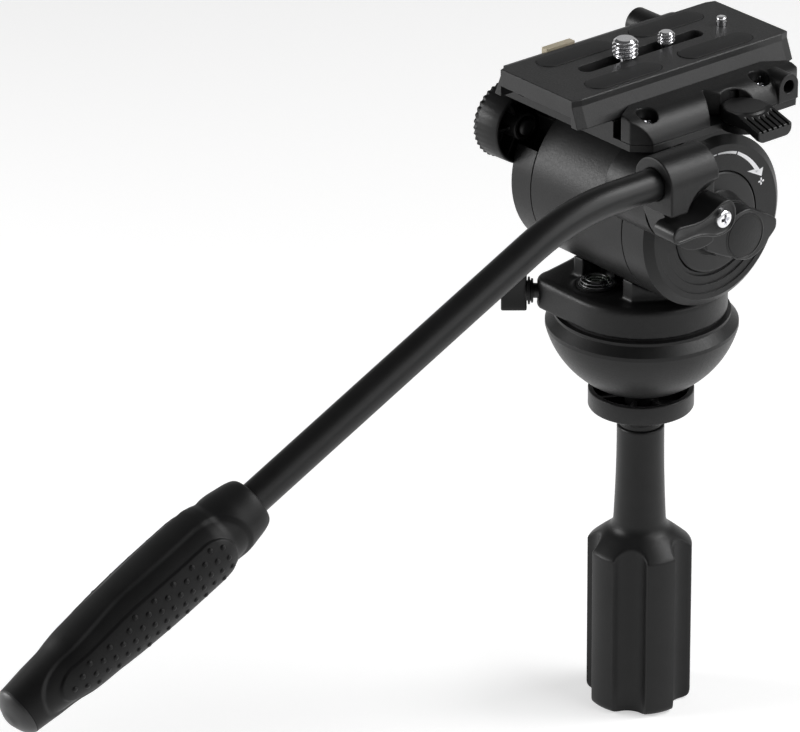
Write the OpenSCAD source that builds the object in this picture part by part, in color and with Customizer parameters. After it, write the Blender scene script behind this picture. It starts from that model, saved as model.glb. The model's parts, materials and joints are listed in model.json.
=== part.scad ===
// Fluid video head on a half ball, for a tripod bowl.
// Millimetres. The origin is the centre of the half ball's sphere.
// X is the tilt axis and the operator's right, Y points to the lens, Z is the pan axis.

/* [Half ball] */
// Radius of the half ball
ball_r = 37.5; // [36.5:0.25:40]
// Depth of the ball's widest band below its centre
ball_band = 9.5; // [9:0.25:11]
// Height of the straight band
band_h = 1.5; // [1:0.1:2]
// Height of the bevel above the band
bevel_h = 3.4; // [2.8:0.1:3.8]
// Width of the bevel
bevel_w = 3; // [2:0.1:3.6]
// Height of the lip above the bevel
lip_h = 1.2; // [0.8:0.1:1.6]
// Depth of the flat underneath, below the ball's centre
ball_cut = 32.5; // [31.5:0.25:33.5]
// Radius of the room for the stud's nut
nut_room_r = 13; // [12:0.25:15]
// Depth of the room for the stud's nut
nut_room_h = 6.5; // [6:0.25:8]

/* [Tie-down] */
// Radius of the tie-down stud
stud_r = 4.9; // [4:0.1:5]
// Length of the stud below the ball
stud_l = 60; // [50:1:64]
// Radius over the corners of the stud's nut
stud_nut_r = 9; // [8:0.25:10]
// Height of the stud's nut
stud_nut_h = 5.5; // [4:0.25:5.75]
// Gap from the ball's flat down to the dish
dish_gap = 3.5; // [3.3:0.1:5]
// Rim radius of the clamping dish
dish_r = 20; // [18:0.5:24]
// Height of the dish's upright wall
dish_wall_h = 5.5; // [4:0.25:7]
// Height of the dish's sloping underside
dish_slope_h = 6; // [5:0.25:8]
// Height of the collar under the dish
dish_collar_h = 1.8; // [1.5:0.1:3]
// Radius of the collar under the dish
dish_collar_r = 9.75; // [9:0.25:11]
// Wall of the dish
dish_wall = 1.8; // [1.4:0.1:2.2]
// Radius of the hub inside the dish
dish_hub_r = 6.5; // [6.2:0.1:7.5]
// Thickness of the dish's ribs
rib_t = 1.6; // [1:0.1:2]
// Number of ribs in the dish
rib_n = 6; // [4:1:8]
// Radius of the handle's neck at its top
neck_r = 9; // [8.6:0.1:9.8]
// Radius of the handle's neck at its foot
neck_foot_r = 10; // [9.6:0.1:11]
// Length of the handle's neck
neck_l = 42; // [40:1:46]
// Height of the handle's shoulder
shoulder_h = 10; // [8:0.5:13]
// Radius of the handle's grip
handle_r = 20.1; // [18:0.1:22]
// Length of the handle's grip
handle_l = 65; // [55:1:75]
// Number of grooves in the grip
groove_n = 5; // [4:1:6]
// Direction of the first groove
groove_a = -51.3; // [-90:0.1:0]
// Radius of each groove
groove_r = 7.4; // [7:0.1:8.5]
// Depth of each groove
groove_d = 4.9; // [4:0.1:5.2]
// Outer radius of the handle's brass insert
insert_r = 7.5; // [7:0.1:7.6]
// Length of the handle's brass insert
insert_l = 34; // [25:1:38]
// Gap from the dish's collar down to the handle
handle_gap = 0.5; // [0.3:0.1:0.8]

/* [Pan base] */
// Gap between the ball's lip and the pan base
pan_gap = 0.9; // [0.7:0.05:1.2]
// Radius of the pan base
pan_r = 32; // [31.5:0.25:33]
// Height of the pan base
pan_h = 12; // [11.5:0.1:13]
// Rounding of the pan base's top edge
pan_round = 2.5; // [1.5:0.1:3]
// Direction of the lock's lobe
lobe_a = 230; // [225:1:240]
// Rounding of the lock's lobe
lobe_r = 7; // [6:0.25:8]
// Distance from the pan axis to the lobe's tip
lobe_tip = 39.3; // [38.5:0.1:41]
// Radius of the pan axle
pan_axle_r = 8; // [7.5:0.1:8.2]
// Wall of the pan bush
pan_bush_t = 3; // [2.5:0.1:3.2]
// Height of the pan bush
pan_bush_h = 6.5; // [5.5:0.1:6.8]
// Radius over the corners of the axle's nut
axle_nut_r = 10.5; // [9.5:0.1:10.8]
// Height of the axle's nut
axle_nut_h = 5; // [4:0.1:5.2]
// Outer radius of the thrust ring
thrust_r = 27; // [25:0.5:28]
// Width of the thrust ring
thrust_w = 7; // [5:0.5:9]
// Height of the thrust ring
thrust_h = 5; // [4:0.25:7]
// Outer radius of the seal
seal_r = 31; // [30:0.1:31.2]
// Width of the seal
seal_w = 2.4; // [1.5:0.1:2.6]
// Half length of the drum's saddle
saddle_y = 19.5; // [18:0.25:21]
// Half width of the saddle's ends
saddle_x = 16.5; // [15.5:0.25:18]
// Half width of the saddle's middle
saddle_mid_x = 24; // [22:0.25:24.5]
// Half length of the saddle's middle
saddle_mid_y = 8; // [7:0.25:9]
// Height from the pan base up to the drum
drum_rise = 2.1; // [1.6:0.1:3]

/* [Level] */
// Place of the level across the base
level_x = -4; // [-5:0.1:-3]
// Place of the level behind the pan axis
level_y = -19.3; // [-20:0.1:-19]
// Radius of the vial
vial_r = 6.1; // [5:0.1:6.2]
// Wall of the level's ring
level_ring_t = 1.4; // [1:0.1:1.5]
// Depth of the level's pocket
level_deep = 4.5; // [3:0.1:5]
// Radius of the level's boss
level_boss_r = 8.8; // [8:0.1:9]
// Height of the level's boss
level_boss_h = 0.7; // [0.4:0.1:1]

/* [Pan lock] */
// Height of the lock screw above the pan base's underside
lock_h = 5.8; // [5.2:0.1:6.4]
// Radius of the lock screw
pan_screw_r = 2.85; // [2.5:0.05:3]
// Distance from the pan axis to the lock screw's tip
pan_screw_tip = 25; // [24.5:0.25:27]
// Radius of the knob's collar
pan_collar_r = 4.85; // [4.5:0.05:5.2]
// Length of the knob's collar
pan_collar_l = 2; // [1.5:0.1:2.6]
// Length of the knob's grip along the screw
pan_knob_l = 9; // [8:0.25:11]
// Height of the knob's grip
pan_knob_h = 13; // [11:0.25:14]
// Thickness of the knob's grip
pan_knob_t = 5.6; // [5:0.1:7]

/* [Tilt drum] */
// Radius of the drum and its cheeks
drum_r = 33; // [32.5:0.1:34]
// Half width of the centre drum
drum_half = 25.25; // [25:0.05:26]
// Wall of the centre drum
drum_wall = 3.5; // [3:0.1:4.5]
// Gap between the centre drum and each cheek
seam = 0.5; // [0.3:0.05:0.7]
// Thickness of the drum's end plates
end_t = 4.5; // [3.5:0.1:5]
// Radius of the tilt axle
tilt_axle_r = 6; // [5:0.1:6.5]
// Wall of the tilt bushes
tilt_bush_t = 3; // [2:0.1:3.5]
// Thickness of each drag disc
disc_t = 2; // [1.5:0.1:2.4]
// Distance from one drag disc to the next
disc_step = 3; // [2.8:0.05:3.1]
// Number of drag discs that turn
disc_n = 3; // [2:1:3]
// Room between the drag discs and the parts that they pass
disc_room = 1.5; // [1:0.1:2]
// Coil radius of the counterbalance spring
spring_r = 17; // [14:0.5:20]
// Wire radius of the counterbalance spring
spring_wire = 1.9; // [1.2:0.1:2]
// Turns of the counterbalance spring
spring_turns = 3; // [2:1:3]
// Rise of the counterbalance spring in one turn
spring_pitch = 5; // [4.5:0.1:5.2]
// Thickness of the right cheek
right_t = 14.25; // [13.5:0.05:15]
// Width of the bevel on the right cheek's rim
cheek_bevel_w = 3.1; // [2:0.1:4]
// Depth of the bevel on the right cheek's rim
cheek_bevel_h = 2.65; // [2:0.05:3]
// Thickness of the left cheek
left_t = 10.75; // [10:0.05:11.5]
// Half length of the cheeks' uprights under the platform
upright_y = 14; // [12:0.5:17]

/* [Drag knob] */
// Radius of the dial's recess
dial_r = 19.8; // [18.5:0.1:20.2]
// Depth of the dial's recess
dial_deep = 3.5; // [3:0.1:3.8]
// How far the dial stands out of the cheek
dial_proud = 0.5; // [0.3:0.1:1]
// Height of each step around the dial
step_h = 0.5; // [0.3:0.05:0.6]
// Number of steps around the dial
step_n = 3; // [2:1:3]
// Width of the innermost step
step_in = 1.3; // [1:0.1:1.6]
// Distance from one step to the next
step_w = 3.3; // [2.8:0.1:3.4]
// Depth below the tilt axis where the steps fade out
step_fade = 6; // [4:0.5:9]
// Radius of the knob's neck
knob_neck_r = 12; // [10:0.25:12.5]
// Length of the knob's neck
knob_neck_l = 6.5; // [5:0.1:8]
// Length of the knob's wings along its axis
wing_l = 9; // [8:0.1:10]
// Reach of the knob's front wing
wing_front = 16; // [15:0.1:18]
// Reach of the knob's rear wing
wing_back = 19.2; // [18:0.1:21]
// Radius of the knob's middle
wing_hub_r = 9.6; // [9.4:0.1:10]
// Radius of the knob's cap
cap_r = 8.2; // [7.5:0.1:8.6]
// Depth of the knob's cap
cap_t = 0.8; // [0.5:0.1:1.2]
// Radius of the dial's spigot
spigot_r = 4; // [3.5:0.05:4.5]
// Length of the dial's spigot
spigot_l = 3.3; // [3:0.1:4]

/* [Pan bar] */
// Distance of the bar's pivot behind the tilt axis
pivot_y = 26; // [25.5:0.1:27]
// Height of the bar's pivot above the tilt axis
pivot_h = 19.7; // [19:0.1:20.5]
// Radius of the pivot boss
boss_r = 15.7; // [15.5:0.1:16]
// How far the boss and the bracket reach ahead of the bar's pivot
boss_front = 6; // [5.5:0.1:6.5]
// Length of the pivot boss from the seam
boss_l = 22.15; // [21.5:0.05:23]
// Gap between the boss and the bracket
rosette_gap = 1; // [0.9:0.05:1.2]
// Number of teeth in each rosette
tooth_n = 36; // [24:1:40]
// Distance from the lock bolt to the rosettes' inner edge
rosette_in = 4; // [3:0.25:6]
// Thickness of the bracket's flange
flange_t = 12.1; // [11.8:0.1:12.6]
// Distance from the flange's inner face to the bar's axis
bar_off = 9.6; // [9.4:0.1:9.8]
// Height of the bar's axis above its pivot
bar_up = 14.6; // [14.4:0.1:15]
// Outer radius of the tube clamp
clamp_r = 10.2; // [9.8:0.1:10.6]
// Reach of the tube clamp behind the pivot
clamp_back = 21.3; // [20:0.1:24]
// Reach of the tube clamp ahead of the pivot
clamp_front = 1.2; // [0.5:0.1:2]
// How far the tube clamp's straight sides reach below the bar's axis
clamp_drop = 10; // [9:0.1:10.4]
// Wall that closes the front of the tube clamp
clamp_end = 2.2; // [1.5:0.1:3]
// Radius of the pan bar
bar_r = 6; // [5.8:0.05:6.2]
// Wall of the pan bar
bar_wall = 1.2; // [0.8:0.1:1.5]
// Distance from the pivot back to the corner of the bar's bend
bar_corner = 60.2; // [58:0.1:70]
// Angle of the bar's bend
bar_bend = 25.06; // [15:0.02:30]
// Radius of the bar's bend
bend_r = 90; // [70:1:95]
// Distance from the bend's corner to the grip
grip_at = 159; // [150:1:180]
// Radius of the grip's first edge
grip_edge_r = 9.6; // [9:0.1:10]
// Radius of the grip's collar
grip_collar_r = 12; // [11:0.1:12.4]
// Length of the grip's collar
grip_collar_l = 17; // [14:0.5:18]
// Radius of the grip at its fullest
grip_r = 14.45; // [13.5:0.05:16]
// Distance from the grip's first edge to its fullest place
grip_full = 39; // [34:0.5:44]
// Radius of the grip before its tail
grip_waist_r = 12.35; // [11.8:0.05:13]
// Distance from the grip's first edge to its tail
grip_tail = 85; // [80:0.5:90]
// Radius of the grip's end
grip_end_r = 9.4; // [9:0.1:10]
// Length of the grip
grip_l = 107; // [104:0.5:115]
// Height of the grip's domed cap
grip_cap_h = 8.5; // [5:0.1:8.8]
// Length of the bar inside the grip
bar_in_grip = 95; // [80:1:98]

/* [Bar lock] */
// Radius of the lock bolt
bolt_r = 4; // [3.5:0.05:4.2]
// Length of the lock bolt inside the boss
bolt_in = 16; // [12:0.5:18]
// Radius of the lock lever's hub
lock_hub_r = 6.3; // [6:0.05:6.6]
// Length of the lock lever along its axis
lock_l = 11; // [10:0.25:12]
// Gap between the bracket and the lock lever
lock_gap = 0.5; // [0.3:0.1:0.8]
// Reach of the lock lever's arm
lock_arm = 20.5; // [18:0.25:23]
// Drop of the lock lever's tip
lock_drop = 1.5; // [1:0.1:2]
// Radius of the lock lever's tip
lock_tip_r = 3.4; // [3:0.1:3.8]
// Radius of the head of the lock lever's screw
lock_head_r = 3.4; // [3:0.1:3.7]

/* [Platform] */
// Gap between the drum and the platform
deck_gap = 2.7; // [2.2:0.1:3.5]
// Thickness of the platform's floor
floor_t = 2.7; // [2.5:0.1:3.5]
// Height of the deck above the floor
deck_h = 6.2; // [6:0.1:6.6]
// Half width of the deck
deck_half = 24.4; // [24.2:0.05:24.5]
// Distance from the tilt axis to the platform's rear end
deck_back = 36.5; // [35:0.25:38]
// Distance from the tilt axis to the platform's front end
deck_front = 45; // [44:0.25:47]
// Distance from the middle to the right rail's outside
deck_right = 39.5; // [39:0.1:40.2]
// Distance from the middle to the left wall's outside
deck_left = 43; // [42:0.1:44]
// Bevel of the platform's corners
deck_corner = 6; // [4:0.25:7]
// Height of the rails above the floor
rail_h = 10; // [9.6:0.1:10.4]
// Rounding of the rails' outer edges
rail_round = 11; // [10:0.1:11.4]
// Gap between the plate's flanks and the rails
rail_gap = 0.35; // [0.3:0.01:0.45]
// Place of the rail screws along the platform
rail_screw_y = 27.3; // [26.8:0.1:28]
// Place of the rail screws across the platform
rail_screw_x = 32; // [31.5:0.1:32.5]
// Radius of the rail screws' counterbores
rail_hole_r = 4; // [3.8:0.1:4.2]
// Radius of the rail screws' heads
rail_head_r = 3.5; // [3:0.1:3.6]
// Radius of the rail screws' shanks
rail_shank_r = 2; // [1.5:0.1:2.2]
// Radius of the right accessory boss
acc_boss_r = 4.8; // [4.6:0.05:5]
// Radius of the accessory holes, a 1/4 inch tapping drill
acc_hole_r = 2.55; // [2.5:0.05:2.6]
// Depth of the accessory holes
acc_deep = 9; // [7:0.5:10]
// Place of the right accessory hole along the platform
acc_y = 35; // [35:0.1:36]
// Place of the left accessory hole along the platform
acc_left_y = 37.5; // [36.8:0.1:37.6]
// Radius of the left accessory boss
acc_left_r = 5.9; // [5.6:0.05:6]
// Height of the right accessory hole above the floor
acc_right_h = 5.7; // [5.4:0.1:6]
// Height of the left accessory hole above the floor
acc_left_h = 3.8; // [3.7:0.1:4.2]
// How far the right accessory boss stands out
acc_right_out = 0.5; // [0.3:0.1:1]
// How far the left accessory boss stands out
acc_left_out = 3.9; // [3:0.1:5]

/* [Release lever] */
// Place of the lever's pin across the platform
lever_x = 42; // [41.8:0.1:42.5]
// Place of the lever's pin along the platform
lever_y = 11; // [10.6:0.1:11.4]
// Radius of the lever's hub
lever_hub_r = 8.3; // [7.8:0.1:8.4]
// Height of the lever's hub
lever_hub_h = 5.3; // [5:0.1:6]
// Reach of the lever from its pin
lever_reach = 17; // [16:0.25:20]
// Width of the lever's paddle
paddle_w = 16.5; // [15:0.25:16.5]
// Drop of the paddle's end below the hub
paddle_drop = 2.7; // [2:0.1:2.8]
// Height of the paddle's end face
paddle_end_h = 4.5; // [3.5:0.1:5]
// Radius of the lever's pin
lever_pin_r = 2.5; // [2:0.05:3]
// Width of the clamp jaw
jaw_w = 6.7; // [6:0.1:7]
// Gap from the plate's flank to the jaw
jaw_gap = 0.3; // [0.25:0.01:0.4]
// Travel of the clamp jaw
jaw_travel = 0.8; // [0.6:0.05:0.9]

/* [Safety tab] */
// Place of the tab's middle along the platform
tab_y = -10; // [-12:0.25:-8]
// Length of the tab
tab_l = 13.5; // [11:0.25:15]
// Thickness of the tab
tab_t = 3; // [2.5:0.1:3.2]
// Distance from the middle to the tab
tab_x = 37; // [36.5:0.1:37.5]
// How far the tab stands above the left wall
tab_up = 0.5; // [0.3:0.1:1]
// Depth of the tab inside the left wall
tab_in = 4.2; // [4:0.1:4.4]
// Coil radius of the tab's spring
tab_spring_r = 1; // [0.8:0.05:1.1]

/* [Camera plate] */
// Gap between the deck and the plate
plate_gap = 0.2; // [0.15:0.01:0.3]
// Half width of the plate at its foot
plate_half = 24.15; // [24:0.05:24.25]
// Half width of the plate at its top
plate_top_half = 21; // [20.8:0.05:21.2]
// Length of the plate
plate_l = 104.7; // [100:0.1:115]
// Height of the plate
plate_h = 10.6; // [10.4:0.1:11]
// Height of the plate's upright top band
plate_band = 2.6; // [2.2:0.1:2.8]
// Width of the bevel on the plate's ends
plate_bevel_x = 1.2; // [0.8:0.1:2]
// Length of the bevel on the plate's ends
plate_bevel_y = 3.8; // [2:0.1:5]
// Half width of the channel under the plate
channel_half = 19.6; // [19:0.1:20]
// Height of the channel under the plate
channel_h = 4; // [3.9:0.05:4.2]
// Rear end of the plate's slot
slot_back = -31.4; // [-33:0.1:-30]
// Front end of the plate's slot
slot_front = 27.6; // [27:0.1:28.5]
// Width of the plate's slot
slot_w = 6.7; // [6.6:0.05:7]
// Width of the slot's wide lower part
tee_w = 13; // [12.6:0.1:13.5]
// Height of the slot's wide lower part
tee_h = 2.8; // [2.6:0.1:3]
// Gap around the nuts in the slot's wide lower part
tee_gap = 0.25; // [0.2:0.01:0.3]
// Length of each rubber pad
pad_l = 34.2; // [30:0.1:35]
// Width of each rubber pad
pad_w = 10; // [8:0.1:10.4]
// Place of the rubber pads across the plate
pad_x = 13.6; // [13.2:0.1:14]
// Place of the rubber pads along the plate
pad_y = 22.3; // [21.5:0.1:24]
// Depth of the rubber pads in the plate
pad_deep = 1; // [0.6:0.1:1.2]
// How far the rubber pads stand out of the plate
pad_proud = 0.25; // [0.2:0.05:0.6]

/* [Camera screws] */
// Thread radius of the 3/8 inch screw
big_r = 4.7625; // [4.7625:0.0001:4.7625]
// How far the 3/8 inch screw stands above the plate
big_up = 7.1; // [6:0.1:9]
// Place of the 3/8 inch screw along the plate
big_y = -9.6; // [-10.5:0.1:-9.5]
// Thread radius of the 1/4 inch screw
small_r = 3.175; // [3.175:0.001:3.175]
// How far the 1/4 inch screw stands above the plate
small_up = 4.6; // [4:0.1:6]
// Place of the 1/4 inch screw along the plate
small_y = 10.4; // [9.5:0.1:10.8]
// Neck radius of the camera screws
screw_neck_r = 3; // [2.6:0.05:3]
// Head radius of the camera screws
screw_head_r = 6.1; // [5:0.1:6.3]
// Head height of the camera screws
screw_head_h = 3; // [2.5:0.1:3.1]
// Length of the nuts in the slot
nut_l = 12.5; // [11:0.25:12.5]
// Radius of the video pin
pin_r = 1.85; // [1.8:0.05:2]
// Distance from the plate's front end to the video pin
pin_in = 14.75; // [13.5:0.05:15.8]
// How far the video pin stands above the plate
pin_up = 3.5; // [3:0.1:3.6]
// Radius of the video pin's flange
pin_flange_r = 3; // [2.8:0.1:3.2]
// Height of the video pin's flange
pin_flange_h = 1; // [0.8:0.1:1.2]
// Plate left above the video pin's flange
pin_skin = 1.6; // [1.4:0.1:1.8]

/* [Left rosette] */
// Radius of the rosette cup
cup_r = 14.3; // [14:0.1:15]
// Radius of the rosette's toothed rim
cup_rim_r = 15.7; // [15.5:0.1:16]
// Length of the rosette cup
cup_l = 12.7; // [12:0.1:13.5]
// Thickness of the rosette's toothed rim
cup_rim_t = 3; // [2:0.1:3.5]
// Wall of the rosette cup
cup_wall = 1.7; // [1.4:0.1:2.2]
// Height of the rosette's axis above the tilt axis
cup_h = 20.1; // [19.6:0.1:20.5]
// Radius of the rosette's hub
cup_hub_r = 5.5; // [5:0.1:6]
// Radius of the rosette's bolt
cup_bolt_r = 3; // [2.5:0.1:3.4]

/* [Fits] */
// Running clearance of a shaft in its bush
run_fit = 0.05; // [0.02:0.01:0.09]
// Clearance between pieces that move past each other
free_gap = 0.3; // [0.3:0.01:0.35]

/* [Hidden] */
$fn = 96;

black = [0.07, 0.07, 0.075];
charcoal = [0.13, 0.13, 0.14];
steel = [0.66, 0.67, 0.69];
chrome = [0.80, 0.81, 0.83];
brass = [0.72, 0.58, 0.30];
rubber = [0.05, 0.05, 0.05];
grey = [0.42, 0.43, 0.45];
bronze = [0.55, 0.40, 0.24];
clear_green = [0.75, 0.85, 0.55];

// Heights of the ball and the tie-down
band_top = band_h - ball_band;
bevel_top = band_top + bevel_h;
ball_top = bevel_top + lip_h;
band_r = sqrt(ball_r * ball_r - ball_band * ball_band);
lip_r = band_r - bevel_w;
room_z = nut_room_h - ball_cut;
dish_top = -ball_cut - dish_gap;
dish_wall_z = dish_top - dish_wall_h;
dish_slope_z = dish_wall_z - dish_slope_h;
dish_foot = dish_slope_z - dish_collar_h;
dish_floor = dish_wall_z - 1;
dish_hub_top = dish_top - 2.5;
neck_top = dish_foot - handle_gap;
neck_foot = neck_top - neck_l;
shoulder_foot = neck_foot - shoulder_h;
handle_foot = shoulder_foot - handle_l;
handle_room_r = stud_r + free_gap + 0.1;

// Heights of the pan base, the drum and the platform
pan_z = ball_top + pan_gap;
pan_top = pan_z + pan_h;
tilt_z = pan_top + drum_rise + drum_r;
bush_r = pan_axle_r + run_fit + pan_bush_t;
nut_room2_r = axle_nut_r + 0.8;
nut_room2_z = pan_z + pan_bush_h;
axle_top = nut_room2_z + free_gap + axle_nut_h + 0.6;
lobe_d = lobe_tip - lobe_r;
lobe_lean = acos((pan_r - lobe_r) / lobe_d);
lock_z = pan_z + lock_h;
level_floor = pan_top - level_deep;
floor_z = tilt_z + drum_r + deck_gap;
ledge_z = floor_z + floor_t;
deck_z = ledge_z + deck_h;
rail_top = ledge_z + rail_h;
plate_z = deck_z + plate_gap;
plate_top = plate_z + plate_h;
flank_h = plate_h - plate_band;
flank_lean = (plate_half - plate_top_half) / flank_h;
rail_top_x = plate_half + rail_gap - flank_lean * (rail_top - plate_z);

// Screws under the saddle and under the platform
saddle_sink = 1;
saddle_head_z = 4;
saddle_screw_r = 1.7;
saddle_head_r = 3.2;
deck_bolt_r = 2;
bolt_head_w = 1.5;
bolt_y = 8;
bolt_down = 9;
bolt_sink = 0.2;
deck_far = 2 * deck_front;

// Places along the tilt axis
cheek_in = drum_half + seam;
bolt_x = cheek_in + 5;
right_face = cheek_in + right_t;
left_face = cheek_in + left_t;
dial_floor = right_face - dial_deep;
dial_face = right_face + dial_proud;
axle_right = dial_floor - spigot_l - 0.2;
wing_x = dial_face + knob_neck_l;
knob_face = wing_x + wing_l;
drum_in = drum_r - drum_wall;
stator_in = tilt_axle_r + disc_room + 3;
rotor_out = drum_in - disc_room;
tilt_bush_r = tilt_axle_r + run_fit + tilt_bush_t;

// Places of the bar and its lock
pivot_z = tilt_z + pivot_h;
boss_face = cheek_in + boss_l;
flange_x = boss_face + rosette_gap;
flange_face = flange_x + flange_t;
bar_x = flange_x + bar_off;
bar_z = pivot_z + bar_up;
corner_y = -pivot_y - bar_corner;
bend_t = bend_r * tan(bar_bend / 2);
lock_x = flange_face + lock_gap;
lock_face = lock_x + lock_l;

// Places of the lever, the jaw, the tab and the plate's fittings
lever_z = ledge_z + 0.2;
lever_top = lever_z + lever_hub_h;
jaw_y = lever_y + 4.65;
jaw_back = lever_x - lever_hub_r - free_gap - jaw_travel;
jaw_top = rail_top - 2.6;
tab_foot = rail_top - tab_in;
tab_floor = tab_foot - 3.2;
tab_slot_t = tab_t + 2 * free_gap;
tee_top = plate_z + channel_h + tee_h;
nut_z = plate_z + channel_h + 0.1;
nut_h = tee_h - 0.3;
head_z = plate_z + 0.6;
pin_y = plate_l / 2 - pin_in;
pin_boss_r = 6;
pin_hole_r = pin_flange_r + free_gap;
flange_top = plate_top - pin_skin;
flange_z = flange_top - pin_flange_h;
plug_h = 0.8;
plug_top = plate_z + 0.6 + plug_h;

// Round bar along X, Y or Z, from one place to another
module rod_x(x1, x2, y, z, r) {
  translate([x1, y, z]) rotate([0, 90, 0]) cylinder(h = x2 - x1, r = r);
}

module rod_y(y1, y2, x, z, r) {
  translate([x, y1, z]) rotate([-90, 0, 0]) cylinder(h = y2 - y1, r = r);
}

module rod_z(z1, z2, x, y, r) {
  translate([x, y, z1]) cylinder(h = z2 - z1, r = r);
}

// Flat ring around X or Z
module ring_x(x1, x2, y, z, r_out, r_in) {
  difference() {
    rod_x(x1, x2, y, z, r_out);
    rod_x(x1 - 1, x2 + 1, y, z, r_in);
  }
}

module ring_z(z1, z2, r_out, r_in) {
  difference() {
    rod_z(z1, z2, 0, 0, r_out);
    rod_z(z1 - 1, z2 + 1, 0, 0, r_in);
  }
}

// Six-sided nut around Z
module hex_z(z1, z2, r) {
  translate([0, 0, z1]) cylinder(h = z2 - z1, r = r, $fn = 6);
}

// Box between two corners
module slab(a, b) {
  translate(a) cube(b - a);
}

// Outline in X and Z carried along Y, and outline in Y and Z carried along X
module prism_y(y1, y2) {
  translate([0, y2, 0]) rotate([90, 0, 0]) linear_extrude(y2 - y1) children();
}

module prism_x(x1, x2) {
  translate([x1, 0, 0]) rotate([90, 0, 90]) linear_extrude(x2 - x1) children();
}

// Wire wound into an open coil around Z
module coil(r, wire, pitch, turns, steps = 20, sides = 6) {
  n = turns * steps;
  points = [
    for (i = [0:n], k = [0:sides - 1])
      let (a = 360 * i / steps, b = 360 * k / sides, d = r + wire * cos(b))
        [d * cos(a), d * sin(a), wire * sin(b) + pitch * i / steps]
  ];
  walls = [
    for (i = [0:n - 1], k = [0:sides - 1])
      let (m = (k + 1) % sides)
        [i * sides + k, (i + 1) * sides + k, (i + 1) * sides + m, i * sides + m]
  ];
  start = [for (k = [0:sides - 1]) k];
  finish = [for (k = [0:sides - 1]) n * sides + sides - 1 - k];
  polyhedron(points, concat([start], walls, [finish]));
}

// Disc around Z with a rounded top edge
module puck(r, z1, z2, round) {
  rotate_extrude() {
    square([r - round, z2]);
    translate([0, z1]) square([r, z2 - z1 - round]);
    translate([r - round, z2 - round]) circle(round);
  }
}

// Pieces of the base
module half_ball() {
  color(black) difference() {
    union() {
      intersection() {
        sphere(ball_r);
        rod_z(-ball_cut, -ball_band, 0, 0, ball_r + 1);
      }
      rod_z(-ball_band, band_top, 0, 0, band_r);
      translate([0, 0, band_top]) cylinder(h = bevel_h, r1 = band_r, r2 = lip_r);
      rod_z(bevel_top, ball_top, 0, 0, lip_r);
    }
    rod_z(-ball_cut - 1, ball_top + 1, 0, 0, pan_axle_r);
    rod_z(-ball_cut - 1, room_z, 0, 0, nut_room_r);
    ring_z(ball_top - thrust_h, ball_top + 1, thrust_r, thrust_r - thrust_w);
  }
}

module pan_axle() {
  color(steel) rod_z(room_z, axle_top, 0, 0, pan_axle_r);
}

module axle_nut() {
  color(steel) difference() {
    hex_z(nut_room2_z + free_gap, nut_room2_z + free_gap + axle_nut_h, axle_nut_r);
    rod_z(nut_room2_z, axle_top, 0, 0, pan_axle_r);
  }
}

module thrust_ring() {
  color(bronze) ring_z(ball_top - thrust_h, pan_z - 0.1, thrust_r, thrust_r - thrust_w);
}

module pan_seal() {
  color(rubber) ring_z(ball_top, pan_z - 0.2, seal_r, seal_r - seal_w);
}

module tie_stud() {
  color(steel) rod_z(room_z - stud_l, room_z, 0, 0, stud_r);
}

module stud_nut() {
  color(steel) difference() {
    hex_z(room_z - stud_nut_h, room_z, stud_nut_r);
    rod_z(room_z - stud_nut_h - 1, room_z + 1, 0, 0, stud_r);
  }
}

// Pieces of the tie-down
module clamp_dish() {
  color(black) difference() {
    union() {
      difference() {
        union() {
          rod_z(dish_wall_z, dish_top, 0, 0, dish_r);
          translate([0, 0, dish_slope_z])
            cylinder(h = dish_slope_h, r1 = dish_collar_r, r2 = dish_r);
          rod_z(dish_foot, dish_slope_z, 0, 0, dish_collar_r);
        }
        rod_z(dish_floor, dish_top + 1, 0, 0, dish_r - dish_wall);
      }
      rod_z(dish_floor, dish_hub_top, 0, 0, dish_hub_r);
      for (i = [0:rib_n - 1]) rotate([0, 0, 360 * i / rib_n])
        slab([0, -rib_t / 2, dish_floor], [dish_r - dish_wall / 2, rib_t / 2, dish_hub_top - 1]);
    }
    rod_z(dish_foot - 1, dish_top + 1, 0, 0, stud_r + free_gap);
  }
}

module tie_handle() {
  groove_at = handle_r - groove_d + groove_r;
  color(black) difference() {
    rotate_extrude() polygon([
      [0, handle_foot],
      [handle_r - 1.5, handle_foot],
      [handle_r, handle_foot + 1.5],
      [handle_r, shoulder_foot],
      [handle_r - 1.6, shoulder_foot + 2.6],
      [neck_foot_r + 2.6, neck_foot - 1.2],
      [neck_foot_r, neck_foot + 2],
      [neck_r, neck_top - 4],
      [neck_r, neck_top],
      [0, neck_top]
    ]);
    for (i = [0:groove_n - 1]) rotate([0, 0, groove_a + 360 * i / groove_n])
      rod_z(handle_foot - 1, neck_top, groove_at, 0, groove_r);
    rod_z(neck_top - insert_l, neck_top + 1, 0, 0, insert_r);
    rod_z(room_z - stud_l - 6, neck_top, 0, 0, handle_room_r);
  }
}

module handle_insert() {
  color(brass) ring_z(neck_top - insert_l, neck_top, insert_r, stud_r + run_fit);
}

// Pieces of the pan base
module lobe_plan(inset) {
  big = pan_r - inset;
  small = lobe_r - inset;
  rotate([0, 0, lobe_a]) polygon([
    [0, 0],
    big * [cos(lobe_lean), -sin(lobe_lean)],
    [lobe_d, 0] + small * [cos(lobe_lean), -sin(lobe_lean)],
    [lobe_d, 0] + small * [cos(lobe_lean), sin(lobe_lean)],
    big * [cos(lobe_lean), sin(lobe_lean)]
  ]);
}

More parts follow.
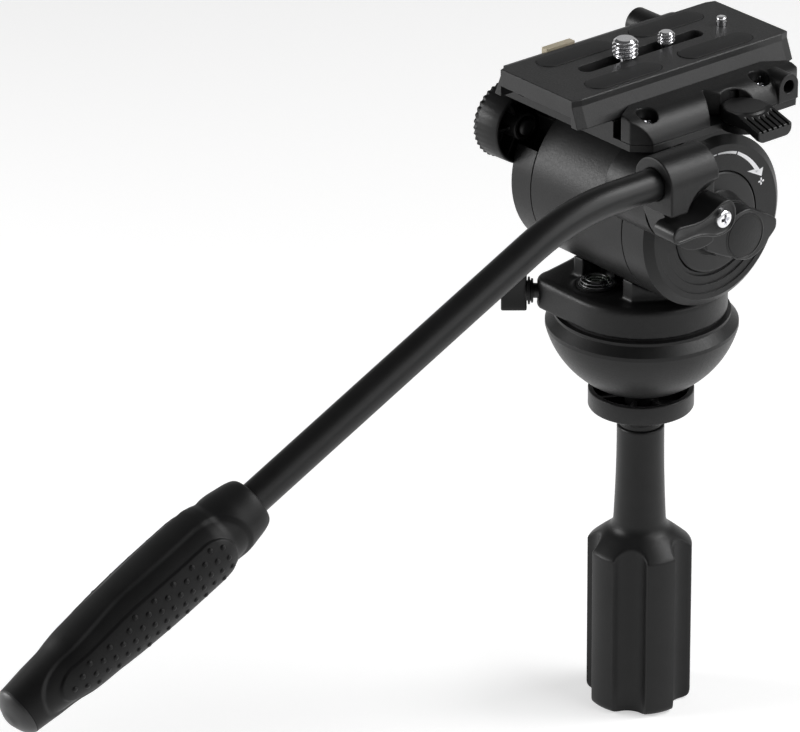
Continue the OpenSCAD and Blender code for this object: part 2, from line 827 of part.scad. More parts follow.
module saddle() {
  difference() {
    translate([0, 0, pan_top - 1]) linear_extrude(tilt_z - pan_top) polygon([
      [-saddle_x, -saddle_y],
      [saddle_x, -saddle_y],
      [saddle_mid_x, -saddle_mid_y],
      [saddle_mid_x, saddle_mid_y],
      [saddle_x, saddle_y],
      [-saddle_x, saddle_y],
      [-saddle_mid_x, saddle_mid_y],
      [-saddle_mid_x, -saddle_mid_y]
    ]);
    rod_x(-drum_half - 1, drum_half + 1, 0, tilt_z, drum_r);
    slab([-saddle_mid_x - 1, -saddle_y - 1, tilt_z - drum_r * 0.8],
      [saddle_mid_x + 1, saddle_y + 1, tilt_z + 1]);
    slab([5.5 - saddle_x, -saddle_y - 1, pan_top],
      [saddle_x - 5.5, level_y + level_boss_r - 0.5, tilt_z]);
  }
}

module pan_housing() {
  color(black) difference() {
    union() {
      puck(pan_r, pan_z, pan_top, pan_round);
      rotate([0, 0, lobe_a]) translate([lobe_d, 0, 0]) puck(lobe_r, pan_z, pan_top, pan_round);
      translate([0, 0, pan_z]) linear_extrude(pan_h - pan_round) lobe_plan(0);
      for (a = [30, 50, 70]) translate([0, 0, pan_z])
        linear_extrude(pan_h - pan_round * (1 - sin(a)) - 0.1) lobe_plan(pan_round * (1 - cos(a)));
      translate([0, 0, pan_z]) linear_extrude(pan_h) lobe_plan(pan_round);
      saddle();
      rod_z(pan_top - 1, pan_top + level_boss_h, level_x, level_y, level_boss_r);
    }
    slab([-60, -60, pan_z - 10], [60, 60, pan_z]);
    rod_z(pan_z - 1, nut_room2_z + 1, 0, 0, bush_r);
    rod_z(nut_room2_z, tilt_z, 0, 0, nut_room2_r);
    rod_z(level_floor, tilt_z, level_x, level_y, vial_r + level_ring_t);
    rotate([0, 0, lobe_a]) rod_x(pan_screw_tip - 1, lobe_tip + 1, 0, lock_z, pan_screw_r + run_fit);
    for (side = [-1, 1]) {
      rod_z(pan_z - 1, tilt_z, side * saddle_x, 0, saddle_screw_r);
      rod_z(pan_z - 1, pan_z + saddle_head_z, side * saddle_x, 0, saddle_head_r);
    }
  }
}

module pan_bush() {
  color(bronze) ring_z(pan_z, nut_room2_z, bush_r, pan_axle_r + run_fit);
}

module level_ring() {
  color(charcoal) translate([level_x, level_y, 0])
    ring_z(level_floor, pan_top + level_boss_h + 0.4, vial_r + level_ring_t, vial_r);
}

module level_vial() {
  color(clear_green) rod_z(level_floor, pan_top + level_boss_h + 0.2, level_x, level_y, vial_r);
}

module centre_drum() {
  color(black) difference() {
    rod_x(-drum_half, drum_half, 0, tilt_z, drum_r);
    rod_x(-drum_half - 1, drum_half + 1, 0, tilt_z, drum_in);
    for (side = [-1, 1]) rod_z(pan_z, tilt_z, side * saddle_x, 0, saddle_screw_r);
  }
}

module drum_ends() {
  color(charcoal) {
    ring_x(drum_half - end_t, drum_half, 0, tilt_z, drum_in, tilt_bush_r);
    ring_x(-drum_half, end_t - drum_half, 0, tilt_z, drum_in, tilt_bush_r);
  }
}

module tilt_bushes() {
  color(bronze) {
    ring_x(drum_half - end_t, drum_half, 0, tilt_z, tilt_bush_r, tilt_axle_r + run_fit);
    ring_x(-drum_half, end_t - drum_half, 0, tilt_z, tilt_bush_r, tilt_axle_r + run_fit);
  }
}

module drag_stators() {
  color(steel) for (i = [0:disc_n - 1])
    ring_x(2 * disc_step * i, 2 * disc_step * i + disc_t, 0, tilt_z, drum_in, stator_in);
}

module counter_spring() {
  color(steel) translate([end_t - drum_half + spring_wire, 0, tilt_z]) rotate([0, 90, 0])
    coil(spring_r, spring_wire, spring_pitch, spring_turns);
}

module saddle_screws() {
  color(steel) for (side = [-1, 1]) {
    rod_z(pan_z + saddle_sink, tilt_z - drum_in, side * saddle_x, 0, saddle_screw_r);
    rod_z(pan_z + saddle_sink, pan_z + saddle_head_z, side * saddle_x, 0, saddle_head_r);
  }
}

// Pieces of the pan lock
module pan_lock_screw() {
  color(steel) rotate([0, 0, lobe_a])
    rod_x(pan_screw_tip, lobe_tip + pan_collar_l + 2.4, 0, lock_z, pan_screw_r);
}

module pan_lock_knob() {
  collar_x = lobe_tip + 0.6;
  grip_x = collar_x + pan_collar_l;
  color(black) rotate([0, 0, lobe_a]) difference() {
    union() {
      rod_x(collar_x, grip_x + 1, 0, lock_z, pan_collar_r);
      for (side = [-1, 1])
        rod_x(grip_x, grip_x + pan_knob_l, 0,
          lock_z + side * (pan_knob_h - pan_knob_t) / 2, pan_knob_t / 2);
      slab([grip_x, -pan_knob_t / 2, lock_z - (pan_knob_h - pan_knob_t) / 2],
        [grip_x + pan_knob_l, pan_knob_t / 2, lock_z + (pan_knob_h - pan_knob_t) / 2]);
    }
    rod_x(collar_x - 1, lobe_tip + pan_collar_l + 2.4, 0, lock_z, pan_screw_r);
  }
}

// Pieces that tilt
module upright(x1, x2) {
  slab([x1, -upright_y, tilt_z], [x2, upright_y, floor_z]);
}

// Round boss at the bar's pivot, cut straight at the front
module boss_form(x1, x2, r) {
  intersection() {
    rod_x(x1, x2, -pivot_y, pivot_z, r);
    slab([x1 - 1, -pivot_y - r - 1, pivot_z - r - 1], [x2 + 1, boss_front - pivot_y, pivot_z + r + 1]);
  }
}

// Round cut in the cheek's face that leans, so that it is deep at the bottom and fades out above
module fading_step(r, deep) {
  intersection() {
    rod_x(right_face - 4, right_face + 2, 0, tilt_z, r);
    translate([right_face, 0, tilt_z - step_fade]) rotate([0, atan(deep / (r - step_fade)), 0])
      slab([0, -2 * drum_r, -2 * drum_r], [9, 2 * drum_r, 0]);
  }
}

module right_cheek() {
  bevel_x = right_face - cheek_bevel_h;
  face_r = drum_r - cheek_bevel_w;
  color(black) difference() {
    union() {
      rod_x(cheek_in, bevel_x, 0, tilt_z, drum_r);
      translate([bevel_x, 0, tilt_z]) rotate([0, 90, 0])
        cylinder(h = cheek_bevel_h, r1 = drum_r, r2 = face_r);
      boss_form(cheek_in, boss_face, boss_r);
      upright(cheek_in, bevel_x);
    }
    for (i = [1:step_n]) fading_step(dial_r + step_in + step_w * (i - 1), step_h * (step_n + 1 - i));
    rod_x(dial_floor, right_face + 2, 0, tilt_z, dial_r);
    rod_x(axle_right - 0.1, right_face, 0, tilt_z, spigot_r + run_fit);
    rod_x(cheek_in - 1, axle_right, 0, tilt_z, tilt_axle_r);
    rod_x(boss_face - bolt_in - 1, boss_face + 1, -pivot_y, pivot_z, bolt_r + free_gap);
    for (side = [-1, 1]) rod_z(floor_z - bolt_down, floor_z + 1, bolt_x, side * bolt_y, deck_bolt_r);
  }
}

module toothed_ring(x1, x2, y, z, r_out, r_in, turn) {
  difference() {
    ring_x(x1, x2, y, z, r_out, r_in);
    for (i = [0:tooth_n - 1])
      translate([(x1 + x2) / 2, y, z]) rotate([360 * (i + turn) / tooth_n, 0, 0])
        translate([0, r_in - 1, -0.25]) cube([x2 - x1, r_out - r_in + 2, 0.5]);
  }
}

module boss_rosette() {
  far = boss_face + rosette_gap / 2 - 0.1;
  color(charcoal) difference() {
    boss_form(boss_face, far, boss_r - 1);
    rod_x(boss_face - 1, far + 1, -pivot_y, pivot_z, bolt_r + rosette_in);
  }
}

module left_cheek() {
  cup_z = tilt_z + cup_h;
  color(black) difference() {
    union() {
      rod_x(-left_face, -cheek_in, 0, tilt_z, drum_r);
      upright(-left_face, -cheek_in);
    }
    rod_x(-left_face - 1, -cheek_in + 1, 0, tilt_z, tilt_axle_r);
    rod_x(-left_face - 1, -cheek_in + 1, -pivot_y, cup_z, cup_hub_r + 1);
    for (side = [-1, 1]) rod_z(floor_z - bolt_down, floor_z + 1, -bolt_x, side * bolt_y, deck_bolt_r);
  }
}

module tilt_axle() {
  color(steel) {
    rod_x(-left_face, axle_right, 0, tilt_z, tilt_axle_r);
    rod_x(-left_face - 2.5, -left_face, 0, tilt_z, tilt_axle_r + 5);
  }
}

module drag_rotors() {
  color(steel) for (i = [0:disc_n - 1])
    ring_x(disc_step * (2 * i + 1), disc_step * (2 * i + 1) + disc_t, 0, tilt_z, rotor_out, tilt_axle_r);
}

module deck_plan() {
  c = deck_corner;
  polygon([
    [c - deck_left, -deck_back],
    [deck_right - c, -deck_back],
    [deck_right, c - deck_back],
    [deck_right, deck_front - c],
    [deck_right - c, deck_front],
    [c - deck_left, deck_front],
    [-deck_left, deck_front - c],
    [-deck_left, c - deck_back]
  ]);
}

// Cross-section of a rail on the right, out to a given distance
module rail_outline(out) {
  intersection() {
    polygon([
      [plate_half + rail_gap, ledge_z],
      [plate_half + rail_gap, plate_z],
      [rail_top_x, rail_top],
      [out, rail_top],
      [out, ledge_z]
    ]);
    union() {
      translate([out - rail_round, rail_top - rail_round]) circle(rail_round);
      translate([0, ledge_z - 20]) square([out - rail_round, 60]);
    }
  }
}

// Plan of the rails, with the inner corners cut back where the plate slides in
module rail_plan() {
  lead = rail_top_x + 5.5;
  intersection() {
    deck_plan();
    union() {
      for (side = [-1, 1]) scale([side, 1]) polygon([
        [rail_top_x - 1, -deck_back + 9.9],
        [lead, -deck_back - 0.1],
        [deck_left + 1, -deck_back - 0.1],
        [deck_left + 1, deck_front + 0.1],
        [lead, deck_front + 0.1],
        [rail_top_x - 1, deck_front - 9.9]
      ]);
    }
  }
}

module platform() {
  color(black) difference() {
    union() {
      translate([0, 0, floor_z]) linear_extrude(floor_t) deck_plan();
      intersection() {
        translate([0, 0, ledge_z]) linear_extrude(deck_h) deck_plan();
        slab([-deck_half - 1, -deck_far, ledge_z], [deck_half, deck_far, deck_z]);
      }
      intersection() {
        mirror([1, 0, 0]) prism_y(-deck_far, deck_far) rail_outline(deck_left);
        translate([0, 0, floor_z]) linear_extrude(plate_top - floor_z) rail_plan();
      }
      rod_x(-deck_left - acc_left_out, -deck_left + 8, acc_left_y, ledge_z + acc_left_h, acc_left_r);
      rod_z(floor_z, ledge_z, lever_x, lever_y, lever_hub_r);
    }
    rod_x(-deck_left - acc_left_out - 1, acc_deep - deck_left - acc_left_out, acc_left_y,
      ledge_z + acc_left_h, acc_hole_r);
    rod_z(floor_z - 1, ledge_z + 1, lever_x, lever_y, lever_pin_r);
    for (y = [-1, 1]) rod_z(floor_z - 1, ledge_z + 1, rail_screw_x, y * rail_screw_y, rail_shank_r);
    for (x = [-bolt_x, bolt_x], y = [-bolt_y, bolt_y]) {
      rod_z(floor_z - 1, ledge_z + 1, x, y, deck_bolt_r);
    }
    for (y = [-bolt_y, bolt_y]) rod_z(ledge_z - 1, rail_top + 1, -bolt_x, y, deck_bolt_r + bolt_head_w);
    slab([-tab_x - tab_slot_t / 2, tab_y - tab_l / 2 - free_gap, tab_floor],
      [tab_slot_t / 2 - tab_x, tab_y + tab_l / 2 + free_gap, rail_top + 1]);
  }
}

module platform_bolts() {
  color(steel) for (x = [-bolt_x, bolt_x], y = [-bolt_y, bolt_y])
    rod_z(floor_z - bolt_down, ledge_z - bolt_sink, x, y, deck_bolt_r);
}

module clamp_rail() {
  pocket_back = lever_x - lever_hub_r - 0.7;
  acc_z = ledge_z + acc_right_h;
  color(black) difference() {
    union() {
      intersection() {
        prism_y(-deck_far, deck_far) rail_outline(deck_right);
        translate([0, 0, ledge_z]) linear_extrude(plate_top - ledge_z) rail_plan();
      }
      rod_x(deck_right - 6, deck_right + acc_right_out, acc_y, acc_z, acc_boss_r);
    }
    slab([deck_right - 7, acc_y - 9, ledge_z - 9], [deck_right + 9, acc_y + 9, ledge_z]);
    rod_x(deck_right + acc_right_out - acc_deep, deck_right + acc_right_out + 1, acc_y, acc_z, acc_hole_r);
    translate([0, 0, ledge_z - 1]) linear_extrude(30) polygon([
      [pocket_back - 3.5, lever_y - 9.5],
      [lever_x - 1, lever_y - 14.5],
      [lever_x + 9, lever_y - 14.5],
      [lever_x + 9, lever_y],
      [lever_x - 4, lever_y]
    ]);
    rod_z(ledge_z - 1, rail_top + 1, lever_x, lever_y, lever_x - pocket_back);
    slab([plate_top_half, jaw_y - jaw_w / 2 - free_gap, ledge_z - 1],
      [pocket_back + 1, jaw_y + jaw_w / 2 + free_gap, jaw_top + free_gap]);
    for (y = [-1, 1]) {
      rod_z(ledge_z + 2.5, rail_top + 1, rail_screw_x, y * rail_screw_y, rail_hole_r);
      rod_z(ledge_z - 1, rail_top, rail_screw_x, y * rail_screw_y, rail_shank_r);
    }
  }
}

module rail_screws() {
  color(chrome) for (y = [-1, 1]) {
    rod_z(floor_z + 0.3, ledge_z + 3, rail_screw_x, y * rail_screw_y, rail_shank_r);
    rod_z(ledge_z + 2.5, ledge_z + 4.7, rail_screw_x, y * rail_screw_y, rail_head_r);
  }
}

module lever_pin() {
  color(steel) rod_z(floor_z, lever_top - 0.3, lever_x, lever_y, lever_pin_r);
}

module tab_spring() {
  color(steel) translate([-tab_x, tab_y, tab_floor + 0.3])
    coil(tab_spring_r, 0.3, 1.2, 2, 16, 6);
}

module left_rosette() {
  cup_z = tilt_z + cup_h;
  far = left_face + cup_l;
  color(black) difference() {
    union() {
      difference() {
        union() {
          rod_x(-far, -left_face, -pivot_y, cup_z, cup_r);
          toothed_ring(-far, cup_rim_t - far, -pivot_y, cup_z, cup_rim_r, cup_r - 4, 0);
        }
        rod_x(cup_rim_t + 0.6 - far, -left_face + 1, -pivot_y, cup_z, cup_r - cup_wall);
      }
      rod_x(cup_rim_t - far, -left_face, -pivot_y, cup_z, cup_hub_r);
      for (i = [0:5]) translate([0, -pivot_y, cup_z]) rotate([60 * i, 0, 0])
        slab([cup_rim_t - far, 0, -0.7], [-left_face - 1.5, cup_r - cup_wall / 2, 0.7]);
    }
    rod_x(-far - 1, -left_face + 1, -pivot_y, cup_z, cup_bolt_r);
    rod_x(-far - 1, 1.8 - far, -pivot_y, cup_z, cup_bolt_r + 3.2);
  }
}

module left_rosette_bolt() {
  cup_z = tilt_z + cup_h;
  far = left_face + cup_l;
  color(steel) {
    rod_x(-far + 0.4, -left_face, -pivot_y, cup_z, cup_bolt_r);
    rod_x(-far + 0.4, 1.8 - far, -pivot_y, cup_z, cup_bolt_r + 2.4);
    rod_x(-left_face, 1.6 - left_face, -pivot_y, cup_z, cup_bolt_r + 0.6);
  }
}

// Pieces of the drag knob
module drag_dial() {
  color(black) {
    rod_x(dial_floor + 0.2, dial_face, 0, tilt_z, dial_r - free_gap);
    rod_x(dial_floor - spigot_l, dial_floor + 1, 0, tilt_z, spigot_r);
  }
}

module drag_wing() {
  color(charcoal) translate([0, 0, tilt_z]) difference() {
    union() {
      rod_x(dial_face, wing_x, 0, 0, knob_neck_r);
      rod_x(wing_x, knob_face, 0, 0, wing_hub_r);
      prism_x(wing_x, knob_face) polygon([
        [wing_front, 0.2],
        [wing_front, 2.5],
        [7.5, 8.9],
        [-6, 8.6],
        [-wing_back, 4.6],
        [1.5 - wing_back, -1.4],
        [-7.3, -6.8],
        [5, -8],
        [11.3, -4.1]
      ]);
    }
    rod_x(knob_face - cap_t, knob_face + 1, 0, 0, cap_r);
  }
}

module drag_cap() {
  color(black) rod_x(knob_face - cap_t, knob_face, 0, tilt_z, cap_r);
}

// Pieces of the pan bar
module bar_bracket() {
  front = clamp_front - pivot_y;
  back = -pivot_y - clamp_back;
  lean = 25;
  scoop_l = bar_x + clamp_r - flange_face + 1;
  color(black) difference() {
    union() {
      boss_form(flange_x, flange_face, boss_r);
      rod_y(back, front, bar_x, bar_z, clamp_r);
      slab([flange_x + 1, back, bar_z - clamp_drop], [bar_x + clamp_r, front, bar_z]);
      prism_x(flange_x, flange_face) polygon([
        [-pivot_y - boss_r * cos(lean), pivot_z - boss_r * sin(lean)],
        [back, bar_z - 4],
        [back, bar_z + 3],
        [front, bar_z + 3],
        [boss_front - pivot_y, pivot_z],
        [-pivot_y, pivot_z - boss_r * 0.4]
      ]);
    }
    slab([flange_x - boss_r, back - 1, pivot_z - boss_r - 1], [flange_x, front + boss_r, bar_z + boss_r]);
    rod_y(back - 1, front - clamp_end, bar_x, bar_z, bar_r);
    rod_x(flange_x - 1, flange_face + 1, -pivot_y, pivot_z, bolt_r + free_gap);
    rod_x(flange_face, flange_face + 40, -pivot_y, pivot_z, lock_hub_r + 2 * free_gap);
    translate([flange_face, -pivot_y, pivot_z]) rotate([0, 90, 0])
      cylinder(h = scoop_l, r1 = lock_hub_r + 2 * free_gap, r2 = lock_hub_r + 2 * free_gap + scoop_l);
  }
}

module bar_rosette() {
  near = flange_x - rosette_gap / 2 + 0.1;
  color(charcoal) difference() {
    boss_form(near, flange_x - 0.02, boss_r - 1);
    rod_x(near - 1, flange_x, -pivot_y, pivot_z, bolt_r + rosette_in);
  }
}

// Places a child with its own Z along the bar's sloping part
module on_bar(at) {
  translate([bar_x, corner_y, bar_z]) rotate([90 + bar_bend, 0, 0]) translate([0, 0, at]) children();
}

// The bent tube's form; the straight parts lap over the bend's ends and are a hair thicker
module bar_form(r) {
  front = clamp_front - pivot_y - clamp_end;
  lap = 1;
  hair = 0.15;
  rod_y(corner_y + bend_t - lap, front, bar_x, bar_z, r);
  translate([bar_x, corner_y + bend_t, bar_z - bend_r]) rotate([0, -90, 0]) rotate([180, 0, 0])
    rotate_extrude(angle = bar_bend, $fn = 240) translate([bend_r, 0]) circle(r - hair);
  on_bar(bend_t - lap) cylinder(h = grip_at + bar_in_grip - bend_t + lap, r = r);
}

module pan_bar() {
  color(charcoal) difference() {
    bar_form(bar_r);
    bar_form(bar_r - bar_wall);
  }
}

module grip_body() {
  color(black) on_bar(grip_at) difference() {
    rotate_extrude() polygon([
      [0, 0],
      [grip_edge_r, 0],
      [grip_collar_r - 0.6, 7],
      [grip_collar_r, 11],
      [grip_collar_r + 0.3, grip_collar_l],
      [grip_r - 0.2, grip_collar_l + 6],
      [grip_r, grip_full],
      [(grip_r + grip_waist_r) / 2 + 0.5, (grip_full + grip_tail) / 2],
      [grip_waist_r, grip_tail],
      [grip_waist_r - 1.2, grip_tail + 6],
      [grip_end_r, grip_l],
      [0, grip_l]
    ]);
    translate([0, 0, -1]) cylinder(h = bar_in_grip + 1, r = bar_r);
  }
}

module grip_cap() {
  dome_r = (grip_end_r * grip_end_r + grip_cap_h * grip_cap_h) / (2 * grip_cap_h);
  color(grey) on_bar(grip_at + grip_l) intersection() {
    translate([0, 0, grip_cap_h - dome_r]) sphere(dome_r);
    cylinder(h = grip_cap_h + 1, r = grip_end_r);
  }
}

// Pieces of the bar lock
module lock_lever() {
  color(black) translate([0, -pivot_y, pivot_z]) difference() {
    union() {
      rod_x(lock_x, lock_face, 0, 0, lock_hub_r);
      rod_x(lock_x, lock_face, -lock_arm, -lock_drop, lock_tip_r);
      prism_x(lock_x, lock_face) polygon([
        [0, lock_hub_r],
        [-lock_arm / 2, lock_tip_r - lock_drop / 2],
        [-lock_arm, lock_tip_r - lock_drop],
        [-lock_arm, -lock_tip_r - lock_drop],
        [-lock_arm / 2, -lock_tip_r - lock_drop / 2],
        [0, -lock_hub_r]
      ]);
    }
    rod_x(lock_x - 1, lock_face - 4, 0, 0, bolt_r);
    rod_x(lock_face - 5, lock_face + 1, 0, 0, 1.5);
  }
}

module lock_bolt() {
  color(steel) rod_x(boss_face - bolt_in, lock_face - 4, -pivot_y, pivot_z, bolt_r);
}

module lock_screw() {
  color(chrome) {
    rod_x(lock_face - 4, lock_face, -pivot_y, pivot_z, 1.5);
    rod_x(lock_face, lock_face + 1.2, -pivot_y, pivot_z, lock_head_r);
  }
}

// Pieces of the quick release
module release_lever() {
  end_x = lever_x + lever_reach;
  end_top = lever_z - paddle_drop + paddle_end_h;
  half = paddle_w / 2;
  color(black) difference() {
    union() {
      rod_z(lever_z, lever_top, lever_x, lever_y, lever_hub_r);
      prism_y(lever_y - half, lever_y + half) polygon([
        [lever_x, lever_z],
        [lever_x + 9, lever_z],
        [end_x - 2, lever_z - paddle_drop],
        [end_x, lever_z - paddle_drop],
        [end_x, end_top],
        [lever_x + 6, lever_top],
        [lever_x, lever_top]
      ]);
    }
    difference() {
      slab([lever_x - 20, lever_y - 20, lever_z - 1], [lever_x, lever_y + 20, lever_top + 1]);
      rod_z(lever_z - 2, lever_top + 2, lever_x, lever_y, lever_hub_r);
    }
    difference() {
      slab([lever_x - 1, lever_y - 20, lever_z - 9], [lever_x + 5.5, lever_y + 20, lever_top + 1]);
      rod_z(lever_z - 10, lever_top + 2, lever_x, lever_y, lever_hub_r);
    }
    rod_z(lever_z - 1, lever_top + 1, lever_x, lever_y, lever_pin_r + run_fit);
  }
}

module clamp_jaw() {
  front = plate_half + jaw_gap;
  color(charcoal) prism_y(jaw_y - jaw_w / 2, jaw_y + jaw_w / 2) polygon([
    [plate_half + rail_gap + 0.2, ledge_z + 0.2],
    [plate_half + rail_gap + 0.2, plate_z - 0.1],
    [front - flank_lean * (jaw_top - plate_z), jaw_top],
    [jaw_back, jaw_top],
    [jaw_back, ledge_z + 0.2]
  ]);
}

module safety_tab() {
  color(brass) slab([-tab_x - tab_t / 2, tab_y - tab_l / 2, tab_foot],
    [tab_t / 2 - tab_x, tab_y + tab_l / 2, rail_top + tab_up]);
}

// Pieces of the camera plate
module plate_slice(y, inset, z1, z2, half1, half2) {
  prism_y(y - 0.01, y) polygon([
    [inset - half1, z1],
    [half1 - inset, z1],
    [half2 - inset, z2],
    [inset - half2, z2]
  ]);
}

module plate_block(z1, z2, half1, half2) {
  end = plate_l / 2;
  hull() {
    plate_slice(0.01 - end, plate_bevel_x, z1, z2, half1, half2);
    plate_slice(plate_bevel_y - end, 0, z1, z2, half1, half2);
    plate_slice(end - plate_bevel_y, 0, z1, z2, half1, half2);
    plate_slice(end, plate_bevel_x, z1, z2, half1, half2);
  }
}

module slot_plan(w) {
  translate([-w / 2, slot_back + w / 2]) square([w, slot_front - slot_back - w]);
  translate([0, slot_back + w / 2]) circle(w / 2);
  translate([0, slot_front - w / 2]) circle(w / 2);
}

module pad_plan() {
  translate([-pad_w / 2, pad_w / 2 - pad_l / 2]) square([pad_w, pad_l - pad_w]);
  for (side = [-1, 1]) translate([0, side * (pad_l - pad_w) / 2]) circle(pad_w / 2);
}

module quick_plate() {
  band_z = plate_z + flank_h;
  color(charcoal) difference() {
    union() {
      difference() {
        union() {
          plate_block(plate_z, band_z, plate_half, plate_top_half);
          plate_block(band_z, plate_top, plate_top_half, plate_top_half);
        }
        slab([-channel_half, -plate_l, plate_z - 1], [channel_half, plate_l, plate_z + channel_h]);
      }
      rod_z(plate_z + 0.6, plate_z + channel_h + 1, 0, pin_y, pin_boss_r);
    }
    translate([0, 0, plate_z + channel_h - 1]) linear_extrude(20) slot_plan(slot_w);
    slab([-tee_w / 2, slot_back, plate_z + channel_h - 1], [tee_w / 2, slot_front, tee_top]);
    for (x = [-1, 1], y = [-1, 1]) translate([x * pad_x, y * pad_y, plate_top - pad_deep])
      linear_extrude(9) pad_plan();
    rod_z(plate_z, flange_top + 0.2, 0, pin_y, pin_hole_r);
    rod_z(plate_z, plate_top + 1, 0, pin_y, pin_r + run_fit);
  }
}

module grip_pads() {
  color(rubber) for (x = [-1, 1], y = [-1, 1])
    translate([x * pad_x, y * pad_y, plate_top - pad_deep]) linear_extrude(pad_deep + pad_proud) pad_plan();
}

module pin_plug() {
  color(steel) rod_z(plate_z + 0.6, plug_top, 0, pin_y, pin_hole_r);
}

module pin_spring() {
  color(steel) translate([0, pin_y, plug_top + 0.3])
    coil(pin_r + 0.6, 0.28, (flange_z - plug_top - 0.6) / 4, 4, 14, 5);
}

// Nut that slides in the slot and the camera screw that turns in it
module slot_nut(y) {
  half = tee_w / 2 - tee_gap;
  difference() {
    slab([-half, y - nut_l / 2, nut_z], [half, y + nut_l / 2, nut_z + nut_h]);
    rod_z(nut_z - 1, nut_z + nut_h + 1, 0, y, screw_neck_r + run_fit);
  }
}

module camera_screw(y, r, up) {
  rod_z(head_z, head_z + screw_head_h, 0, y, screw_head_r);
  rod_z(head_z, plate_top + 0.5, 0, y, screw_neck_r);
  rod_z(plate_top + 0.3, plate_top + up - 0.6, 0, y, r);
  translate([0, y, plate_top + up - 0.6]) cylinder(h = 0.6, r1 = r, r2 = r - 0.6);
}

module big_nut() {
  color(steel) slot_nut(big_y);
}

module big_screw() {
  color(chrome) camera_screw(big_y, big_r, big_up);
}

module small_nut() {
  color(steel) slot_nut(small_y);
}

module small_screw() {
  color(chrome) camera_screw(small_y, small_r, small_up);
}

module video_pin() {
  color(chrome) {
    rod_z(flange_z, plate_top + pin_up - 0.5, 0, pin_y, pin_r);
    translate([0, pin_y, plate_top + pin_up - 0.5]) cylinder(h = 0.5, r1 = pin_r, r2 = pin_r - 0.5);
    rod_z(flange_z, flange_top, 0, pin_y, pin_flange_r);
  }
}

half_ball();
pan_axle();
axle_nut();
thrust_ring();
pan_seal();
tie_stud();
stud_nut();
clamp_dish();
tie_handle();
handle_insert();
pan_housing();
pan_bush();
level_ring();
level_vial();
centre_drum();
drum_ends();
tilt_bushes();
drag_stators();
counter_spring();
saddle_screws();
pan_lock_screw();
pan_lock_knob();
right_cheek();
boss_rosette();
left_cheek();
tilt_axle();
drag_rotors();
platform();
platform_bolts();
clamp_rail();
rail_screws();
lever_pin();
tab_spring();
left_rosette();
left_rosette_bolt();
drag_dial();
drag_wing();
drag_cap();
bar_bracket();
bar_rosette();
pan_bar();
grip_body();
grip_cap();
lock_lever();
lock_bolt();
lock_screw();
release_lever();
clamp_jaw();
safety_tab();
quick_plate();
grip_pads();
pin_plug();
pin_spring();
big_nut();
big_screw();
small_nut();
small_screw();
video_pin();
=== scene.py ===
import json
import math

import bmesh
import bpy
from mathutils import Matrix, Vector

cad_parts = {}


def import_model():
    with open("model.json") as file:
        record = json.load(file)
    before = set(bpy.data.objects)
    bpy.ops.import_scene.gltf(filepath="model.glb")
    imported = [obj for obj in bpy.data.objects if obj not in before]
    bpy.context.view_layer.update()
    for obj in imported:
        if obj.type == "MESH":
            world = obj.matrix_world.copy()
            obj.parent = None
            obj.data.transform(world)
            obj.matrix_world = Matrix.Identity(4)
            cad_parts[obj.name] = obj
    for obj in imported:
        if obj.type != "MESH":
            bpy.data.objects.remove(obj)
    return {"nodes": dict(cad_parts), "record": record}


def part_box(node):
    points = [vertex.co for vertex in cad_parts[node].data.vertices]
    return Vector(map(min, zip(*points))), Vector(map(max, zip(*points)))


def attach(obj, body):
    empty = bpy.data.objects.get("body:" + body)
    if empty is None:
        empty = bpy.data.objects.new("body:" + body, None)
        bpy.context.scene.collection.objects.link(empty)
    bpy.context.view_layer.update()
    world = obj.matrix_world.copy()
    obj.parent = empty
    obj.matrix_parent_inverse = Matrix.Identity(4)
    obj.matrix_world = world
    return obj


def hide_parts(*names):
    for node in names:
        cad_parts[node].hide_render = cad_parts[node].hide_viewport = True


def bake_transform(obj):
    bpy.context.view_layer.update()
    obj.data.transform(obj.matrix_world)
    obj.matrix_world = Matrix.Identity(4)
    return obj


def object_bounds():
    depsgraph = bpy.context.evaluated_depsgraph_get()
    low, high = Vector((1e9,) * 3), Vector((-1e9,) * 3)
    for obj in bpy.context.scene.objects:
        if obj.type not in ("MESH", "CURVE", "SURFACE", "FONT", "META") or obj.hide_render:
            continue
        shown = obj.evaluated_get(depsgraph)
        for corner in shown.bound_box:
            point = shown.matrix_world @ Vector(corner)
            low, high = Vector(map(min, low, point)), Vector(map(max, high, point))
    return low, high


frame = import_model()
cad_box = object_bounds()
scene = bpy.context.scene

# Driving dimensions in millimetres, in the frame of the solids; the studio's middle is in metres
MM = 0.001
TILT_Z = 44.6
CHEEK_FACE_X = 40.0
PLATE_Z, PLATE_TOP_Z = 89.4, 100.0
LEDGE_Z = 83.0
PIVOT = (-26.0, 64.3)
BAR_X, BAR_Z, BAR_R = 58.5, 78.9, 6.0
BAR_FRONT_Y, BAR_CORNER_Y = -27.0, -86.2
BAR_BEND_R = 90.0
BAR_SLOPE = math.radians(25.06)
GRIP_AT, GRIP_L = 159.0, 107.0
LOCK_X = (61.5, 72.5)
WING_X = (47.0, 56.0)
KNOB_FACE_X = 40.5
CUP_CENTRE = (-26.0, 64.7)
CUP_X = (-49.2, -36.5)
LEVER = (42.0, 11.0)
LOBE_ANGLE = math.radians(230)
LOCK_Z = 3.3
PIN_Y = 37.6
ACCESSORY = (35.0, 88.7)
RAIL_SCREW_X, RAIL_SCREW_Y = 32.0, 27.3
STUDIO_MIDDLE = (0.0, -0.03, 0.03)


# Small tools for shapes, all in millimetres

def to_world(axis, u, v, w):
    """Point with w along the axis: outlines lie in YZ for x, in XZ for y and in XY for z."""
    if callable(axis):
        return axis(u, v, w)
    if axis == "x":
        return (w, u, v)
    if axis == "y":
        return (u, w, v)
    return (u, v, w)


